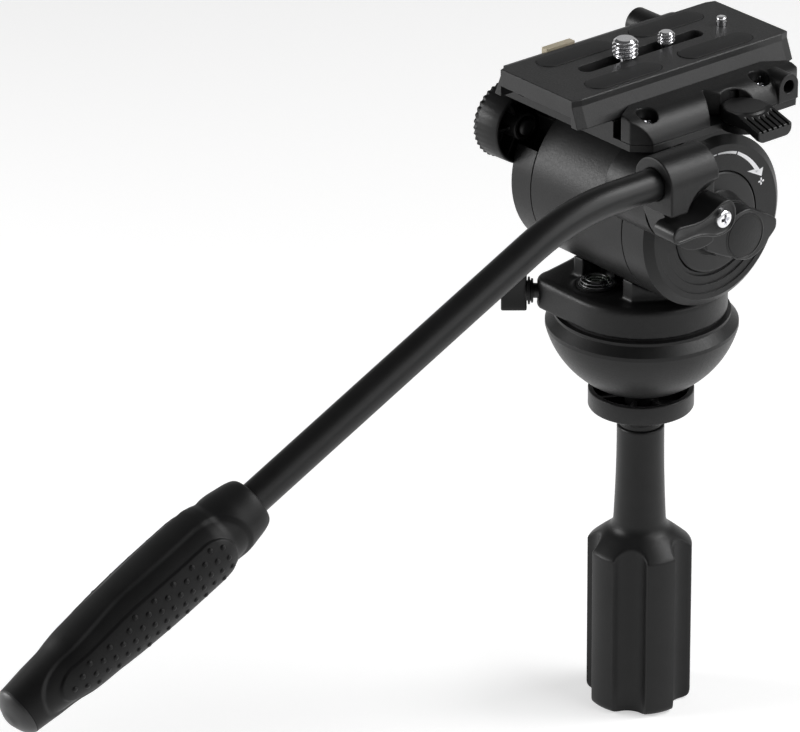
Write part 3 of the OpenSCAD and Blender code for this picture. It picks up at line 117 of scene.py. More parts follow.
def add_object(name, verts, faces):
    mesh = bpy.data.meshes.new(name)
    mesh.from_pydata([tuple(c * MM for c in v) for v in verts], [], faces)
    bm = bmesh.new()
    bm.from_mesh(mesh)
    bmesh.ops.recalc_face_normals(bm, faces=bm.faces)
    bm.to_mesh(mesh)
    bm.free()
    obj = bpy.data.objects.new(name, mesh)
    scene.collection.objects.link(obj)
    return obj


def loft(name, rings, closed=False):
    """Skin over rings that all have the same number of points; closed joins the last ring to the first."""
    n = len(rings[0])
    count = len(rings)
    faces = []
    for i in range(count if closed else count - 1):
        a, b = i * n, (i + 1) % count * n
        for k in range(n):
            m = (k + 1) % n
            faces.append((a + k, a + m, b + m, b + k))
    if not closed:
        faces.append(tuple(range(n - 1, -1, -1)))
        faces.append(tuple(range((count - 1) * n, count * n)))
    return add_object(name, [p for ring in rings for p in ring], faces)


def arc(cx, cy, r, start, end, n):
    """Points on a circle from one angle to another, in degrees."""
    turn = [math.radians(start + (end - start) * k / n) for k in range(n + 1)]
    return [(cx + r * math.cos(a), cy + r * math.sin(a)) for a in turn]


def circle(r, n, cx=0.0, cy=0.0):
    return arc(cx, cy, r, 0, 360, n)[:-1]


def lathe(name, axis, centre, profile, n=96, closed=False):
    """Turned form: the profile lists places along the axis and radii."""
    rings = []
    for w, r in profile:
        rings.append([to_world(axis, u, v, w) for u, v in circle(max(r, 0.01), n, *centre)])
    return loft(name, rings, closed)


def prism(name, axis, outline, low, high):
    return loft(name, [[to_world(axis, u, v, w) for u, v in outline] for w in (low, high)])


def block(name, low, high):
    outline = [(low[0], low[1]), (high[0], low[1]), (high[0], high[1]), (low[0], high[1])]
    return prism(name, "z", outline, low[2], high[2])


def pill(cx, cy, length, width, n=20):
    """Long round-ended outline along the second direction."""
    half = (length - width) / 2
    return arc(cx, cy + half, width / 2, 0, 180, n) + arc(cx, cy - half, width / 2, 180, 360, n)


def smooth_outline(points, per_span=8):
    """Closed Catmull-Rom curve through a few points."""
    out = []
    n = len(points)
    p = [Vector(q) for q in points]
    for i in range(n):
        a, b, c, d = p[i - 1], p[i], p[(i + 1) % n], p[(i + 2) % n]
        for k in range(per_span):
            t = k / per_span
            q = 0.5 * (2 * b + (c - a) * t + (2 * a - 5 * b + 4 * c - d) * t * t
                       + (3 * b - a - 3 * c + d) * t ** 3)
            out.append((q.x, q.y))
    return out


def spline(points, x):
    """Smooth curve through (x, y) points without overshoot."""
    xs = [p[0] for p in points]
    ys = [p[1] for p in points]
    slopes = [0.0] * len(xs)
    for i in range(1, len(xs) - 1):
        left = (ys[i] - ys[i - 1]) / (xs[i] - xs[i - 1])
        right = (ys[i + 1] - ys[i]) / (xs[i + 1] - xs[i])
        slopes[i] = 0.0 if left * right <= 0 else 2 * left * right / (left + right)
    slopes[0] = (ys[1] - ys[0]) / (xs[1] - xs[0])
    slopes[-1] = (ys[-1] - ys[-2]) / (xs[-1] - xs[-2])
    x = min(max(x, xs[0]), xs[-1])
    i = max(k for k in range(len(xs) - 1) if xs[k] <= x)
    h = xs[i + 1] - xs[i]
    t = (x - xs[i]) / h
    return (ys[i] * (1 + 2 * t) * (1 - t) ** 2 + slopes[i] * h * t * (1 - t) ** 2
            + ys[i + 1] * t * t * (3 - 2 * t) + slopes[i + 1] * h * t * t * (t - 1))


def inset(outline, d):
    """Outline moved inward by d along its own normals."""
    n = len(outline)
    pairs = zip(outline, outline[1:] + outline[:1])
    area = sum(a[0] * b[1] - b[0] * a[1] for a, b in pairs)
    side = 1.0 if area > 0 else -1.0
    out = []
    for k in range(n):
        a, b = outline[k - 1], outline[(k + 1) % n]
        tx, ty = b[0] - a[0], b[1] - a[1]
        length = math.hypot(tx, ty) or 1.0
        out.append((outline[k][0] - side * d * ty / length, outline[k][1] + side * d * tx / length))
    return out


def blade(name, axis, outline, low, high, round_mm, rim=None, steps=5):
    """Flat form with rounded edges, and with a rim (width, depth) around a sunken face where asked."""
    rings = []

    def ring(w, d):
        rings.append([to_world(axis, u, v, w) for u, v in inset(outline, d)])

    turns = [math.pi / 2 * k / steps for k in range(steps + 1)]
    for a in turns[::-1]:
        ring(low + round_mm * (1 - math.cos(a - math.pi / 2)), round_mm * (1 - math.cos(a)))
    for a in turns:
        ring(high - round_mm * (1 - math.sin(a)), round_mm * (1 - math.cos(a)))
    if rim:
        width, depth = rim
        ring(high, round_mm + width)
        ring(high - depth * 0.5, round_mm + width + depth * 0.35)
        ring(high - depth, round_mm + width + depth)
    return loft(name, rings)


def bake(obj):
    """Applies every modifier of a piece."""
    bpy.context.view_layer.update()
    graph = bpy.context.evaluated_depsgraph_get()
    mesh = bpy.data.meshes.new_from_object(obj.evaluated_get(graph))
    old = obj.data
    obj.modifiers.clear()
    obj.data = mesh
    bpy.data.meshes.remove(old)


def combine(obj, others, operation):
    for other in others:
        mod = obj.modifiers.new("combine", "BOOLEAN")
        mod.object = other
        mod.operation = operation
        mod.solver = "EXACT"
    bake(obj)
    for other in others:
        bpy.data.objects.remove(other)
    return obj


def cut(obj, *others):
    return combine(obj, others, "DIFFERENCE")


def fuse(obj, *others):
    return combine(obj, others, "UNION")


def gather(obj, *others):
    """Joins loose solids into one piece without a union."""
    bm = bmesh.new()
    bm.from_mesh(obj.data)
    for other in others:
        bm.from_mesh(other.data)
        bpy.data.objects.remove(other)
    bm.to_mesh(obj.data)
    bm.free()
    return obj


def melt(obj, voxel, passes):
    """Cast look: every edge and inner corner gets a small round."""
    mod = obj.modifiers.new("cells", "REMESH")
    mod.mode = "VOXEL"
    mod.voxel_size = voxel * MM
    mod = obj.modifiers.new("soft", "SMOOTH")
    mod.factor = 0.5
    mod.iterations = passes
    bake(obj)
    return obj


def copy_of(node, name):
    """A free copy of a solid, to be worked further."""
    obj = bpy.data.objects.new(name, frame["nodes"][node].data.copy())
    scene.collection.objects.link(obj)
    obj.data.materials.clear()
    stored = obj.data.attributes.get("custom_normal")
    if stored:
        obj.data.attributes.remove(stored)
    weld = obj.modifiers.new("weld", "WELD")
    weld.merge_threshold = 0.002 * MM
    bake(obj)
    return obj


def settle(obj, body, material, stands_for=(), sharp=40):
    """Gives a finished piece its look and the body that carries it, if one body does."""
    for face in obj.data.polygons:
        face.use_smooth = True
    obj.data.set_sharp_from_angle(angle=math.radians(sharp))
    obj.data.materials.clear()
    obj.data.materials.append(material)
    if body:
        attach(obj, body)
    if stands_for:
        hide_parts(*stands_for)
    return obj


# Materials

def node_tree(name):
    mat = bpy.data.materials.new(name)
    mat.use_nodes = True
    nodes, links = mat.node_tree.nodes, mat.node_tree.links
    return mat, nodes, links, nodes["Principled BSDF"]


def noise(nodes, links, coords, size_mm, detail=3.0, rough=0.55):
    """Noise whose grains are about size_mm across."""
    tex = nodes.new("ShaderNodeTexNoise")
    tex.inputs["Scale"].default_value = 1.0 / (size_mm * MM)
    tex.inputs["Detail"].default_value = detail
    tex.inputs["Roughness"].default_value = rough
    links.new(coords, tex.inputs["Vector"])
    return tex.outputs["Fac"]


def spread(nodes, links, value, low, high, from_low=0.3, from_high=0.7):
    """Maps a noise value to a range."""
    span = nodes.new("ShaderNodeMapRange")
    span.inputs["From Min"].default_value = from_low
    span.inputs["From Max"].default_value = from_high
    span.inputs["To Min"].default_value = low
    span.inputs["To Max"].default_value = high
    links.new(value, span.inputs["Value"])
    return span.outputs["Result"]


def tones(nodes, links, value, dark, light):
    ramp = nodes.new("ShaderNodeValToRGB")
    ramp.color_ramp.elements[0].position = 0.3
    ramp.color_ramp.elements[0].color = (*dark, 1.0)
    ramp.color_ramp.elements[1].position = 0.72
    ramp.color_ramp.elements[1].color = (*light, 1.0)
    links.new(value, ramp.inputs["Fac"])
    return ramp.outputs["Color"]


def grey(level):
    return (level, level, level * 1.02)


def finish_material(name, dark, light, rough, grain_mm, bump, metallic=0.0, specular=0.5, patch_mm=9.0,
                    edge_mm=0.25):
    """Painted, moulded or bare surface with grain, faint patches and softly broken edges."""
    mat, nodes, links, bsdf = node_tree(name)
    coords = nodes.new("ShaderNodeTexCoord").outputs["Object"]
    grain = noise(nodes, links, coords, grain_mm)
    patches = noise(nodes, links, coords, patch_mm, detail=4.0)
    links.new(tones(nodes, links, patches, dark, light), bsdf.inputs["Base Color"])
    links.new(spread(nodes, links, grain, rough - 0.05, rough + 0.06), bsdf.inputs["Roughness"])
    relief = nodes.new("ShaderNodeBump")
    relief.inputs["Strength"].default_value = bump
    relief.inputs["Distance"].default_value = 0.06 * MM
    links.new(grain, relief.inputs["Height"])
    if edge_mm:
        edge = nodes.new("ShaderNodeBevel")
        edge.samples = 4
        edge.inputs["Radius"].default_value = edge_mm * MM
        links.new(edge.outputs["Normal"], relief.inputs["Normal"])
    links.new(relief.outputs["Normal"], bsdf.inputs["Normal"])
    bsdf.inputs["Metallic"].default_value = metallic
    bsdf.inputs["Specular IOR Level"].default_value = specular
    return mat


def glass_material():
    mat, nodes, links, bsdf = node_tree("vial_glass")
    coords = nodes.new("ShaderNodeTexCoord").outputs["Object"]
    bsdf.inputs["Base Color"].default_value = (0.93, 0.97, 0.93, 1.0)
    bsdf.inputs["Transmission Weight"].default_value = 1.0
    bsdf.inputs["IOR"].default_value = 1.45
    links.new(spread(nodes, links, noise(nodes, links, coords, 1.5), 0.01, 0.05), bsdf.inputs["Roughness"])
    return mat


coating = finish_material("black_coating", grey(0.007), grey(0.0105), 0.4, 0.75, 0.75, specular=0.3,
                          edge_mm=0.3)
satin = finish_material("satin_black", grey(0.007), grey(0.010), 0.36, 0.35, 0.12, specular=0.35,
                        edge_mm=0.25)
plate_finish = finish_material("plate_anodised", grey(0.012), grey(0.017), 0.46, 0.7, 0.8, specular=0.4,
                               edge_mm=0.35)
moulded = finish_material("moulded_black", grey(0.007), grey(0.010), 0.4, 0.45, 0.15, specular=0.28,
                          edge_mm=0.0)
rubber = finish_material("grip_rubber", grey(0.008), grey(0.011), 0.46, 0.4, 0.2, specular=0.22, edge_mm=0.0)
pad_rubber = finish_material("pad_rubber", grey(0.014), grey(0.019), 0.6, 0.3, 0.25, specular=0.3,
                             edge_mm=0.15)
cap_plastic = finish_material("cap_plastic", grey(0.035), grey(0.045), 0.42, 0.3, 0.12, edge_mm=0.0)
tube_finish = finish_material("tube_coating", grey(0.007), grey(0.010), 0.38, 0.35, 0.12, specular=0.32,
                              edge_mm=0.0)
chrome = finish_material("chrome", grey(0.78), grey(0.86), 0.12, 0.2, 0.03, metallic=1.0, edge_mm=0.0)
steel = finish_material("steel", grey(0.42), grey(0.52), 0.3, 0.15, 0.08, metallic=1.0, edge_mm=0.1)
brass = finish_material("brass", (0.50, 0.44, 0.32), (0.58, 0.51, 0.38), 0.45, 0.2, 0.1, metallic=0.2,
                        edge_mm=0.25)
bronze = finish_material("bronze", (0.33, 0.21, 0.11), (0.4, 0.26, 0.14), 0.4, 0.3, 0.1, metallic=1.0)
print_white = finish_material("print_white", grey(0.88), grey(0.94), 0.5, 0.2, 0.02, edge_mm=0.0)
vial_fluid = finish_material("vial_fluid", (0.05, 0.055, 0.045), (0.07, 0.075, 0.06), 0.2, 2.0, 0.02,
                             edge_mm=0.0)
glass = glass_material()

SLOT_LOOK = {
    "black_metal": coating, "plate_metal": plate_finish, "dark_tube": tube_finish, "black_plastic": moulded,
    "grey_plastic": cap_plastic, "grip_rubber": rubber, "pad_rubber": pad_rubber, "steel": steel,
    "chrome": chrome, "brass": brass, "bronze": bronze, "vial": vial_fluid,
}

BLACKENED = ("pan_lock_screw",)


def dress_solids():
    """Solids that stay get the finish of their slot."""
    for part in frame["record"]["subparts"]:
        obj = frame["nodes"][part["node"]]
        obj.data.materials.clear()
        look = satin if part["node"] in BLACKENED else SLOT_LOOK[part["material_slot"]]
        obj.data.materials.append(look)
        for face in obj.data.polygons:
            face.use_smooth = True


# Castings: solids with every edge softened

def castings():
    for node, name, body, voxel, passes in (("pan_housing", "pan_base_casting", "pan", 0.5, 14),
                                            ("clamp_rail", "rail_casting", "tilt", 0.3, 4),
                                            ("bar_bracket", "bracket_casting", "bar", 0.32, 5)):
        piece = copy_of(node, name)
        if node == "clamp_rail":
            fuse(piece, rail_boss())
        settle(melt(piece, voxel, passes), body, coating, [node], 180)


def rail_boss():
    """Arched boss around the accessory hole, straight down to the ledge."""
    y, z = ACCESSORY
    r, hole_r, back_x, hole_x, foot = 4.75, 2.5, 30.5, 31.5, LEDGE_Z + 0.1
    arch = arc(y, z, r, 0, 180, 32) + [(y - r, foot), (y + r, foot)]
    boss = prism("boss", "x", arch, back_x, CHEEK_FACE_X - 0.02)
    return cut(boss, lathe("hole", "x", ACCESSORY, [(hole_x, hole_r), (CHEEK_FACE_X + 1.0, hole_r)], 48))


# Drag dial

def round_dial():
    """Drag dial with a rounded rim."""
    low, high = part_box("drag_dial")
    radius, face, back = high[1] / MM, high[0] / MM, low[0] / MM
    spigot, floor_x, soft, steps = 9.0, face - 3.8, 1.3, 8
    rim = [(face - soft + soft * math.sin(a), radius - soft + soft * math.cos(a))
           for a in (math.pi / 2 * k / steps for k in range(steps + 1))]
    body = [(back, spigot), (floor_x, spigot), (floor_x, radius - 0.3), (floor_x + 0.3, radius)]
    profile = body + rim + [(face, 0.01)]
    settle(lathe("drag_dial_disc", "x", (0, TILT_Z), profile, 128), "drag", satin,
           ["drag_dial"])


# Clamping dish with the nut on its stud, and the tie-down handle with its five grooves

DISH_FOOT = -51.3


def clamp_dish():
    """Hollow dish with a hub and ribs, a slim collar below and a ring nut around the stud."""
    r, top = (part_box("clamp_dish")[1][axis] / MM for axis in (0, 2))
    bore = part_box("tie_stud")[1][0] / MM + 0.3
    insert_r, insert_top = (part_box("handle_insert")[1][axis] / MM + 0.3 for axis in (0, 2))
    wall, hub_r, cone_r, collar_r = 1.8, 6.5, 9.8, 8.2
    wall_z, cone_z, hub_top = top - 6.8, top - 13.0, top - 2.5
    floor_z = wall_z + 0.2
    profile = [(top - 0.3, r), (wall_z, r), (wall_z - 0.5, r - 0.3), (cone_z + 0.2, cone_r + 0.2),
               (cone_z, cone_r - 0.2), (cone_z, collar_r), (DISH_FOOT, collar_r), (DISH_FOOT, insert_r),
               (insert_top, insert_r), (insert_top, bore), (hub_top, bore), (hub_top, hub_r),
               (floor_z, hub_r), (floor_z, r - wall), (top, r - wall), (top, r - 0.3)]
    dish = lathe("clamp_dish_turned", "z", (0.0, 0.0), profile, 96, True)
    ribs, half = 6, 0.7
    for k in range(ribs):
        c, n = math.cos(2 * math.pi * k / ribs), math.sin(2 * math.pi * k / ribs)
        corners = [(hub_r - 0.3, -half), (r - wall + 0.3, -half), (r - wall + 0.3, half), (hub_r - 0.3, half)]
        outline = [(c * u - n * v, n * u + c * v) for u, v in corners]
        gather(dish, prism("rib", "z", outline, floor_z - 0.3, hub_top - 1.0))
    nut_r, nut_h = hub_r - 0.7, 1.3
    gather(dish, lathe("nut", "z", (0.0, 0.0), [
        (hub_top - 0.1, bore + 0.05), (hub_top - 0.1, nut_r), (hub_top + nut_h - 0.4, nut_r),
        (hub_top + nut_h, nut_r - 0.4), (hub_top + nut_h, bore + 0.05)], 64, True))
    settle(dish, "dish", coating, ["clamp_dish"])


def tie_handle():
    """Grooved grip with a domed shoulder and a slim neck."""
    low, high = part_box("tie_handle")[0][2] / MM, DISH_FOOT - 0.25
    radius, neck_r, top_r = 20.1, 10.0, 9.0
    shoulder, neck_foot = low + 65.0, low + 72.8
    profile = [(low, radius - 2.2), (low + 0.5, radius - 1.0), (low + 1.6, radius - 0.2),
               (low + 3.0, radius), (shoulder - 0.4, radius), (shoulder + 0.3, radius - 0.3),
               (shoulder + 1.1, radius - 1.1), (neck_foot - 2.2, 13.6), (neck_foot - 0.8, 11.7),
               (neck_foot + 0.8, 10.6), (neck_foot + 3.0, neck_r), (high - 4.0, top_r),
               (high - 0.5, top_r), (high, top_r - 0.4)]
    groove_r, groove_d, grooves, first_deg = 7.4, 4.9, 5, -51.3
    groove_at = radius - groove_d + groove_r
    pitch = 360.0 / grooves
    around, rows, soft, lift = 300, 200, 0.7, 0.05
    angles = [2 * math.pi * k / around for k in range(around)]
    heights = [low + (high - low) * k / rows for k in range(rows + 1)]
    heights += [low + 0.25, low + 0.8, shoulder, high - 0.25]

    def radius_at(z, a):
        r = spline(profile, z)
        turn = math.radians((math.degrees(a) - first_deg + pitch / 2) % pitch - pitch / 2)
        off = groove_at * math.sin(turn)
        if abs(off) < groove_r:
            wall = groove_at * math.cos(turn) - math.sqrt(groove_r ** 2 - off ** 2)
            return min(r, 0.5 * (r + wall - math.sqrt((r - wall) ** 2 + soft * soft)) + lift)
        return r

    rings = []
    for z in sorted(heights):
        rings.append([(radius_at(z, a) * math.cos(a), radius_at(z, a) * math.sin(a), z) for a in angles])
    settle(loft("tie_grip", rings), "handle", moulded, ["tie_handle"], 60)


# Pan bar and its grip with side panels

def on_slope(s, side, up):
    """Point at s along the bar's slope, side along X and up across it."""
    c, n = math.cos(BAR_SLOPE), math.sin(BAR_SLOPE)
    return (BAR_X + side, BAR_CORNER_Y - c * s - n * up, BAR_Z - n * s + c * up)


def bent_bar():
    """Tube: straight in the clamp, one smooth bend, straight into the grip."""
    reach = BAR_BEND_R * math.tan(BAR_SLOPE / 2)
    bend_y = BAR_CORNER_Y + reach
    section = circle(BAR_R, 64)
    steps, inside = 32, 95.0
    rings = [[(BAR_X + u, y, BAR_Z + v) for u, v in section] for y in (BAR_FRONT_Y, bend_y)]
    for k in range(1, steps + 1):
        a = BAR_SLOPE * k / steps
        y, z = bend_y - BAR_BEND_R * math.sin(a), BAR_Z - BAR_BEND_R * (1 - math.cos(a))
        rings.append([(BAR_X + u, y - v * math.sin(a), z + v * math.cos(a)) for u, v in section])
    rings.append([on_slope(GRIP_AT + inside, u, v) for u, v in section])
    settle(loft("bent_bar", rings), "bar", tube_finish, ["pan_bar"])


GRIP_END = GRIP_L + 3.3
GRIP_PROFILE = [
    (0.0, 9.3), (0.6, 9.75), (3.0, 10.6), (7.0, 11.35), (11.0, 12.0), (16.0, 12.3), (19.0, 13.3),
    (23.0, 14.2), (31.0, 14.42), (39.0, 14.45), (47.0, 14.35), (63.0, 13.83), (79.0, 12.9), (85.0, 12.35),
    (91.0, 11.3), (99.0, 10.3), (107.0, 9.45), (GRIP_END, 9.15),
]
PANEL_MIDDLE, PANEL_HALF_L, PANEL_HALF_W, PANEL_BAND = 57.5, 40.0, 9.6, 8.0
PANEL_TAPER = 0.4


def panel_depth(s, v):
    """Distance into the side panel, from its edge: positive inside."""
    along = abs(s - PANEL_MIDDLE) - (PANEL_HALF_L - PANEL_HALF_W)
    taper = 1.0 + PANEL_TAPER * ease((s - PANEL_MIDDLE) / PANEL_HALF_L)
    return PANEL_HALF_W - math.hypot(max(along, 0.0), v * taper)


def ease(t):
    t = min(max(t, 0.0), 1.0)
    return t * t * (3 - 2 * t)


def grip_radius(s, a):
    """Radius of the grip with its two side panels, each a raised pad in a sunken band."""
    r = spline(GRIP_PROFILE, s)
    off = min(abs(a), abs(a - 2 * math.pi), abs(a - math.pi))
    deep = panel_depth(s, off * r)
    band_deep, band_run, pad_rise, pad_edge, pad_run = 0.8, 2.2, 0.65, 0.35, 0.6
    r -= band_deep * ease((deep + PANEL_BAND) / band_run)
    return r + pad_rise * ease((deep + pad_edge) / pad_run)


def grip():
    around, steps = 240, 280
    rings = []
    for i in range(steps + 1):
        s = GRIP_END * i / steps
        ring = []
        for k in range(around):
            a = 2 * math.pi * k / around
            r = grip_radius(s, a)
            ring.append(on_slope(GRIP_AT + s, r * math.cos(a), r * math.sin(a)))
        rings.append(ring)
    settle(loft("bar_grip", rings), "bar", rubber, ["grip_body"], 180)


def grip_studs():
    """Small round studs on both side panels."""
    pitch_s, pitch_v, sides, margin, sunk = 4.4, 4.7, 12, 2.2, 0.2
    stud = ((-0.15, 1.1), (0.25, 1.0), (0.5, 0.7), (0.58, 0.1))
    verts, faces = [], []
    for side in (0.0, math.pi):
        for row in range(-2, 3):
            for col in range(-10, 11):
                s, v = PANEL_MIDDLE + pitch_s * col, pitch_v * (row + 0.5 * (col % 2))
                if panel_depth(s, v) < margin:
                    continue
                r = spline(GRIP_PROFILE, s) - sunk
                base = len(verts)
                for h, q in stud:
                    for k in range(sides):
                        t = 2 * math.pi * k / sides
                        turn = side + (v + q * math.sin(t)) / r
                        out = r + h
                        verts.append(on_slope(GRIP_AT + s + q * math.cos(t), out * math.cos(turn),
                                              out * math.sin(turn)))
                for i in range(3):
                    for k in range(sides):
                        a, b = base + sides * i, (k + 1) % sides
                        faces.append((a + k, a + b, a + sides + b, a + sides + k))
                faces.append(tuple(base + 3 * sides + k for k in range(sides)))
                faces.append(tuple(base + sides - 1 - k for k in range(sides)))
    settle(add_object("grip_studs", verts, faces), "bar", rubber, (), 60)


def grip_cap():
    profile = [(-1.5, 8.2), (0.0, 9.05), (0.5, 8.95), (1.6, 8.2), (3.0, 6.4), (4.05, 4.1), (4.8, 2.1),
               (5.0, 0.02)]
    first, last, steps = profile[0][0], profile[-1][0], 40
    rings = []
    for i in range(steps + 1):
        s = first + (last - first) * (1 - (1 - i / steps) ** 1.6)
        section = circle(max(spline(profile, s), 0.02), 72)
        rings.append([on_slope(GRIP_AT + GRIP_END + s, u, v) for u, v in section])
    settle(loft("grip_end_cap", rings), "bar", cap_plastic, ["grip_cap"])


# Lock lever with its screw

def cross_screw(name, axis, centre, face, depth, radius):
    """Pan head with a cross recess, its top at the given face."""
    profile = [(0.0, radius * 0.55), (0.12, radius * 0.75), (0.35, radius * 0.92), (0.75, radius),
               (depth, radius)]
    head = lathe(name, axis, centre, [(face - w, r) for w, r in profile], 64)
    arm, thick, deep = radius * 0.62, radius * 0.19, radius * 0.6
    for u, v in ((arm, thick), (thick, arm)):
        corners = ((-u, -v), (u, -v), (u, v), (-u, v))
        rings = [[to_world(axis, centre[0] + share * a, centre[1] + share * b, w) for a, b in corners]
                 for share, w in ((0.55, face - deep), (1.0, face + 0.3))]
        cut(head, loft("slot", rings))
    return head


def lock_lever():
    """Drop-shaped lever: round at the pivot, slim arm with a round tip."""
    points = [(3.7, 6.1), (-0.2, 6.4), (-4.4, 4.4), (-8.7, 2.4), (-13.0, 1.8), (-18.0, 2.1), (-21.4, 2.0),
              (-23.4, 0.2), (-23.4, -2.6), (-21.4, -4.2), (-17.9, -4.3), (-12.5, -4.1), (-8.1, -4.8),
              (-3.7, -6.2), (0.4, -6.3), (4.0, -5.2), (6.1, -1.9), (6.0, 2.6)]
    outline = smooth_outline([(PIVOT[0] + u, PIVOT[1] + v) for u, v in points], 6)
    lever = blade("bar_lock_lever", "x", outline, LOCK_X[0], LOCK_X[1], 0.55, rim=(0.35, 0.4))
    settle(lever, "bar_lock", satin, ["lock_lever"])
    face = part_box("lock_screw")[1][0] / MM
    screw = cross_screw("bar_lock_screw", "x", PIVOT, face, 2.2, 3.4)
    settle(screw, "bar_lock", chrome, ["lock_screw"])


# Drag knob

def drag_wing():
    points = [(15.9, 0.8), (15.2, 2.7), (10.8, 5.3), (7.2, 7.1), (2.7, 9.8), (-3.0, 9.6), (-8.0, 7.6),
              (-13.0, 6.0), (-17.6, 4.6), (-19.0, 2.0), (-18.6, -0.6), (-17.2, -1.7), (-11.4, -4.8),
              (-4.9, -7.8), (0.0, -9.9), (4.2, -10.1), (9.4, -7.7), (11.1, -5.8), (13.6, -3.6),
              (15.5, -1.5)]
    outline = smooth_outline([(u, v + TILT_Z) for u, v in points], 6)
    face = WING_X[1]
    wing = blade("drag_wing_body", "x", outline, WING_X[0], face - 0.25, 0.8)
    neck = lathe("neck", "x", (0, TILT_Z), [(KNOB_FACE_X, 12.6), (KNOB_FACE_X + 0.6, 12.0),
                                            (WING_X[0] + 1.0, 11.0)])
    profile = [(face - 1.2, 9.3), (face - 0.25, 9.2), (face, 8.9), (face, 8.6), (face - 0.3, 8.4),
               (face - 1.2, 8.3)]
    rim = lathe("rim", "x", (0, TILT_Z), profile, 96, True)
    gather(wing, neck, rim)
    settle(wing, "drag", satin, ["drag_wing"])
    disc = lathe("drag_cap_disc", "x", (0, TILT_Z), [(face - 0.7, 8.2), (face - 0.12, 8.1),
                                                     (face - 0.05, 7.9), (face - 0.05, 0.02)])
    settle(disc, "drag", coating, ["drag_cap"])


# Quick-release lever

def d_section(half, low, top, corner):
    """Flat top, straight sides, rounded lower corners."""
    corner = min(corner, top - low - 0.4)
    return ([(half, top), (-half, top)] + arc(-half + corner, low + corner, corner, 180, 270, 8)
            + arc(half - corner, low + corner, corner, 270, 360, 8))


def release_lever():
    x, y = LEVER
    low, top, hub_r, reach, half = LEDGE_Z + 0.2, LEDGE_Z + 5.5, 8.3, 17.0, 8.25
    end_low, end_top = low - 2.7, low + 1.9
    start = x + 5.5

    def slope(px):
        return top - 0.1 + (end_top - top + 0.1) * max(px - start, 0.0) / (x + reach - start)

    profile = [(low, hub_r - 0.3), (low + 0.4, hub_r), (top - 0.9, hub_r), (top - 0.25, hub_r - 0.35),
               (top, hub_r - 1.0)]
    hub = lathe("release_lever_body", "z", LEVER, profile)
    rings = []
    for px, foot, corner in ((x - 1.0, low, 0.6), (start, low, 0.8), (x + 9.0, low, 1.4),
                             (x + 12.0, low - 1.3, 2.2), (x + 15.0, end_low, 2.8),
                             (x + reach, end_low, 2.9)):
        rings.append([(px, y + u, v) for u, v in d_section(half - 0.1, foot, slope(px), corner)])
    fuse(hub, loft("arm", rings))
    melt(hub, 0.26, 4)
    count, pitch, wide, deep = 6, 2.5, 1.05, 0.8
    start_x, bow, run = 9.4, 0.05, 0.9
    for k in range(count):
        off = pitch * (k - (count - 1) / 2)
        first = x + start_x - bow * off * off
        far = x + reach + 0.5
        side = [(first, slope(first) - 0.05), (first + run, slope(first + run) - deep),
                (far, slope(far) - deep), (far, slope(far) + 2.0), (first, slope(first) + 2.0)]
        cut(hub, prism("slot", "y", side, y + off - wide / 2, y + off + wide / 2))
    settle(hub, "lever", satin, ["release_lever"], 50)


# Camera plate and its fittings

PAD_L, PAD_W, PAD_X, PAD_Y, PAD_DEEP = 34.2, 10.0, 13.6, 22.3, 1.0


def plate_ring(z, half, end):
    bevel_x, bevel_y = 1.2, 3.8
    quarter = [(half, end - bevel_y), (half - bevel_x, end)]
    right = quarter + [(-a, b) for a, b in quarter[::-1]]
    return [(a, b, z) for a, b in right + [(-a, -b) for a, b in right]]


def camera_plate():
    low_half, top_half, end, band_z, edge = 24.15, 21.0, 52.35, 97.4, 0.3
    rings = [plate_ring(z, half - d, end - d) for z, half, d in (
        (PLATE_Z, low_half, edge), (PLATE_Z + edge, low_half, 0.0), (band_z, top_half, 0.0),
        (PLATE_TOP_Z - edge, top_half, 0.0), (PLATE_TOP_Z, top_half, edge))]
    plate = loft("camera_plate", rings)
    channel, tee = (19.6, PLATE_Z + 4.0), (6.5, PLATE_Z + 6.8)
    slot_w, slot_back, slot_front = 6.7, -31.4, 27.6
    tools = [block("channel", (-channel[0], -60.0, PLATE_Z - 1.0), (channel[0], 60.0, channel[1])),
             block("tee", (-tee[0], slot_back, PLATE_Z + 3.0), (tee[0], slot_front, tee[1])),
             prism("slot", "z", pill(0, (slot_back + slot_front) / 2, slot_front - slot_back, slot_w),
                   PLATE_Z, PLATE_TOP_Z + 1),
             lathe("pin_hole", "z", (0.0, PIN_Y), [(PLATE_Z, 2.0), (PLATE_TOP_Z + 1, 2.0)], 48)]
    for px in (-PAD_X, PAD_X):
        for py in (-PAD_Y, PAD_Y):
            tools.append(prism("recess", "z", pill(px, py, PAD_L, PAD_W), PLATE_TOP_Z - PAD_DEEP,
                               PLATE_TOP_Z + 1))
    cut(plate, *tools)
    settle(plate, "plate", plate_finish, ["quick_plate"], 12)


def pads():
    """Four flat pads set into the plate."""
    proud, gap = 0.25, 0.2
    for k, (px, py) in enumerate((a, b) for a in (-PAD_X, PAD_X) for b in (-PAD_Y, PAD_Y)):
        outline = inset(pill(px, py, PAD_L, PAD_W), gap)
        pad = blade("grip_pad_%d" % k, "z", outline, PLATE_TOP_Z - PAD_DEEP, PLATE_TOP_Z + proud, 0.2)
        settle(pad, "plate", pad_rubber, ["grip_pads"] if k == 0 else [], 30)


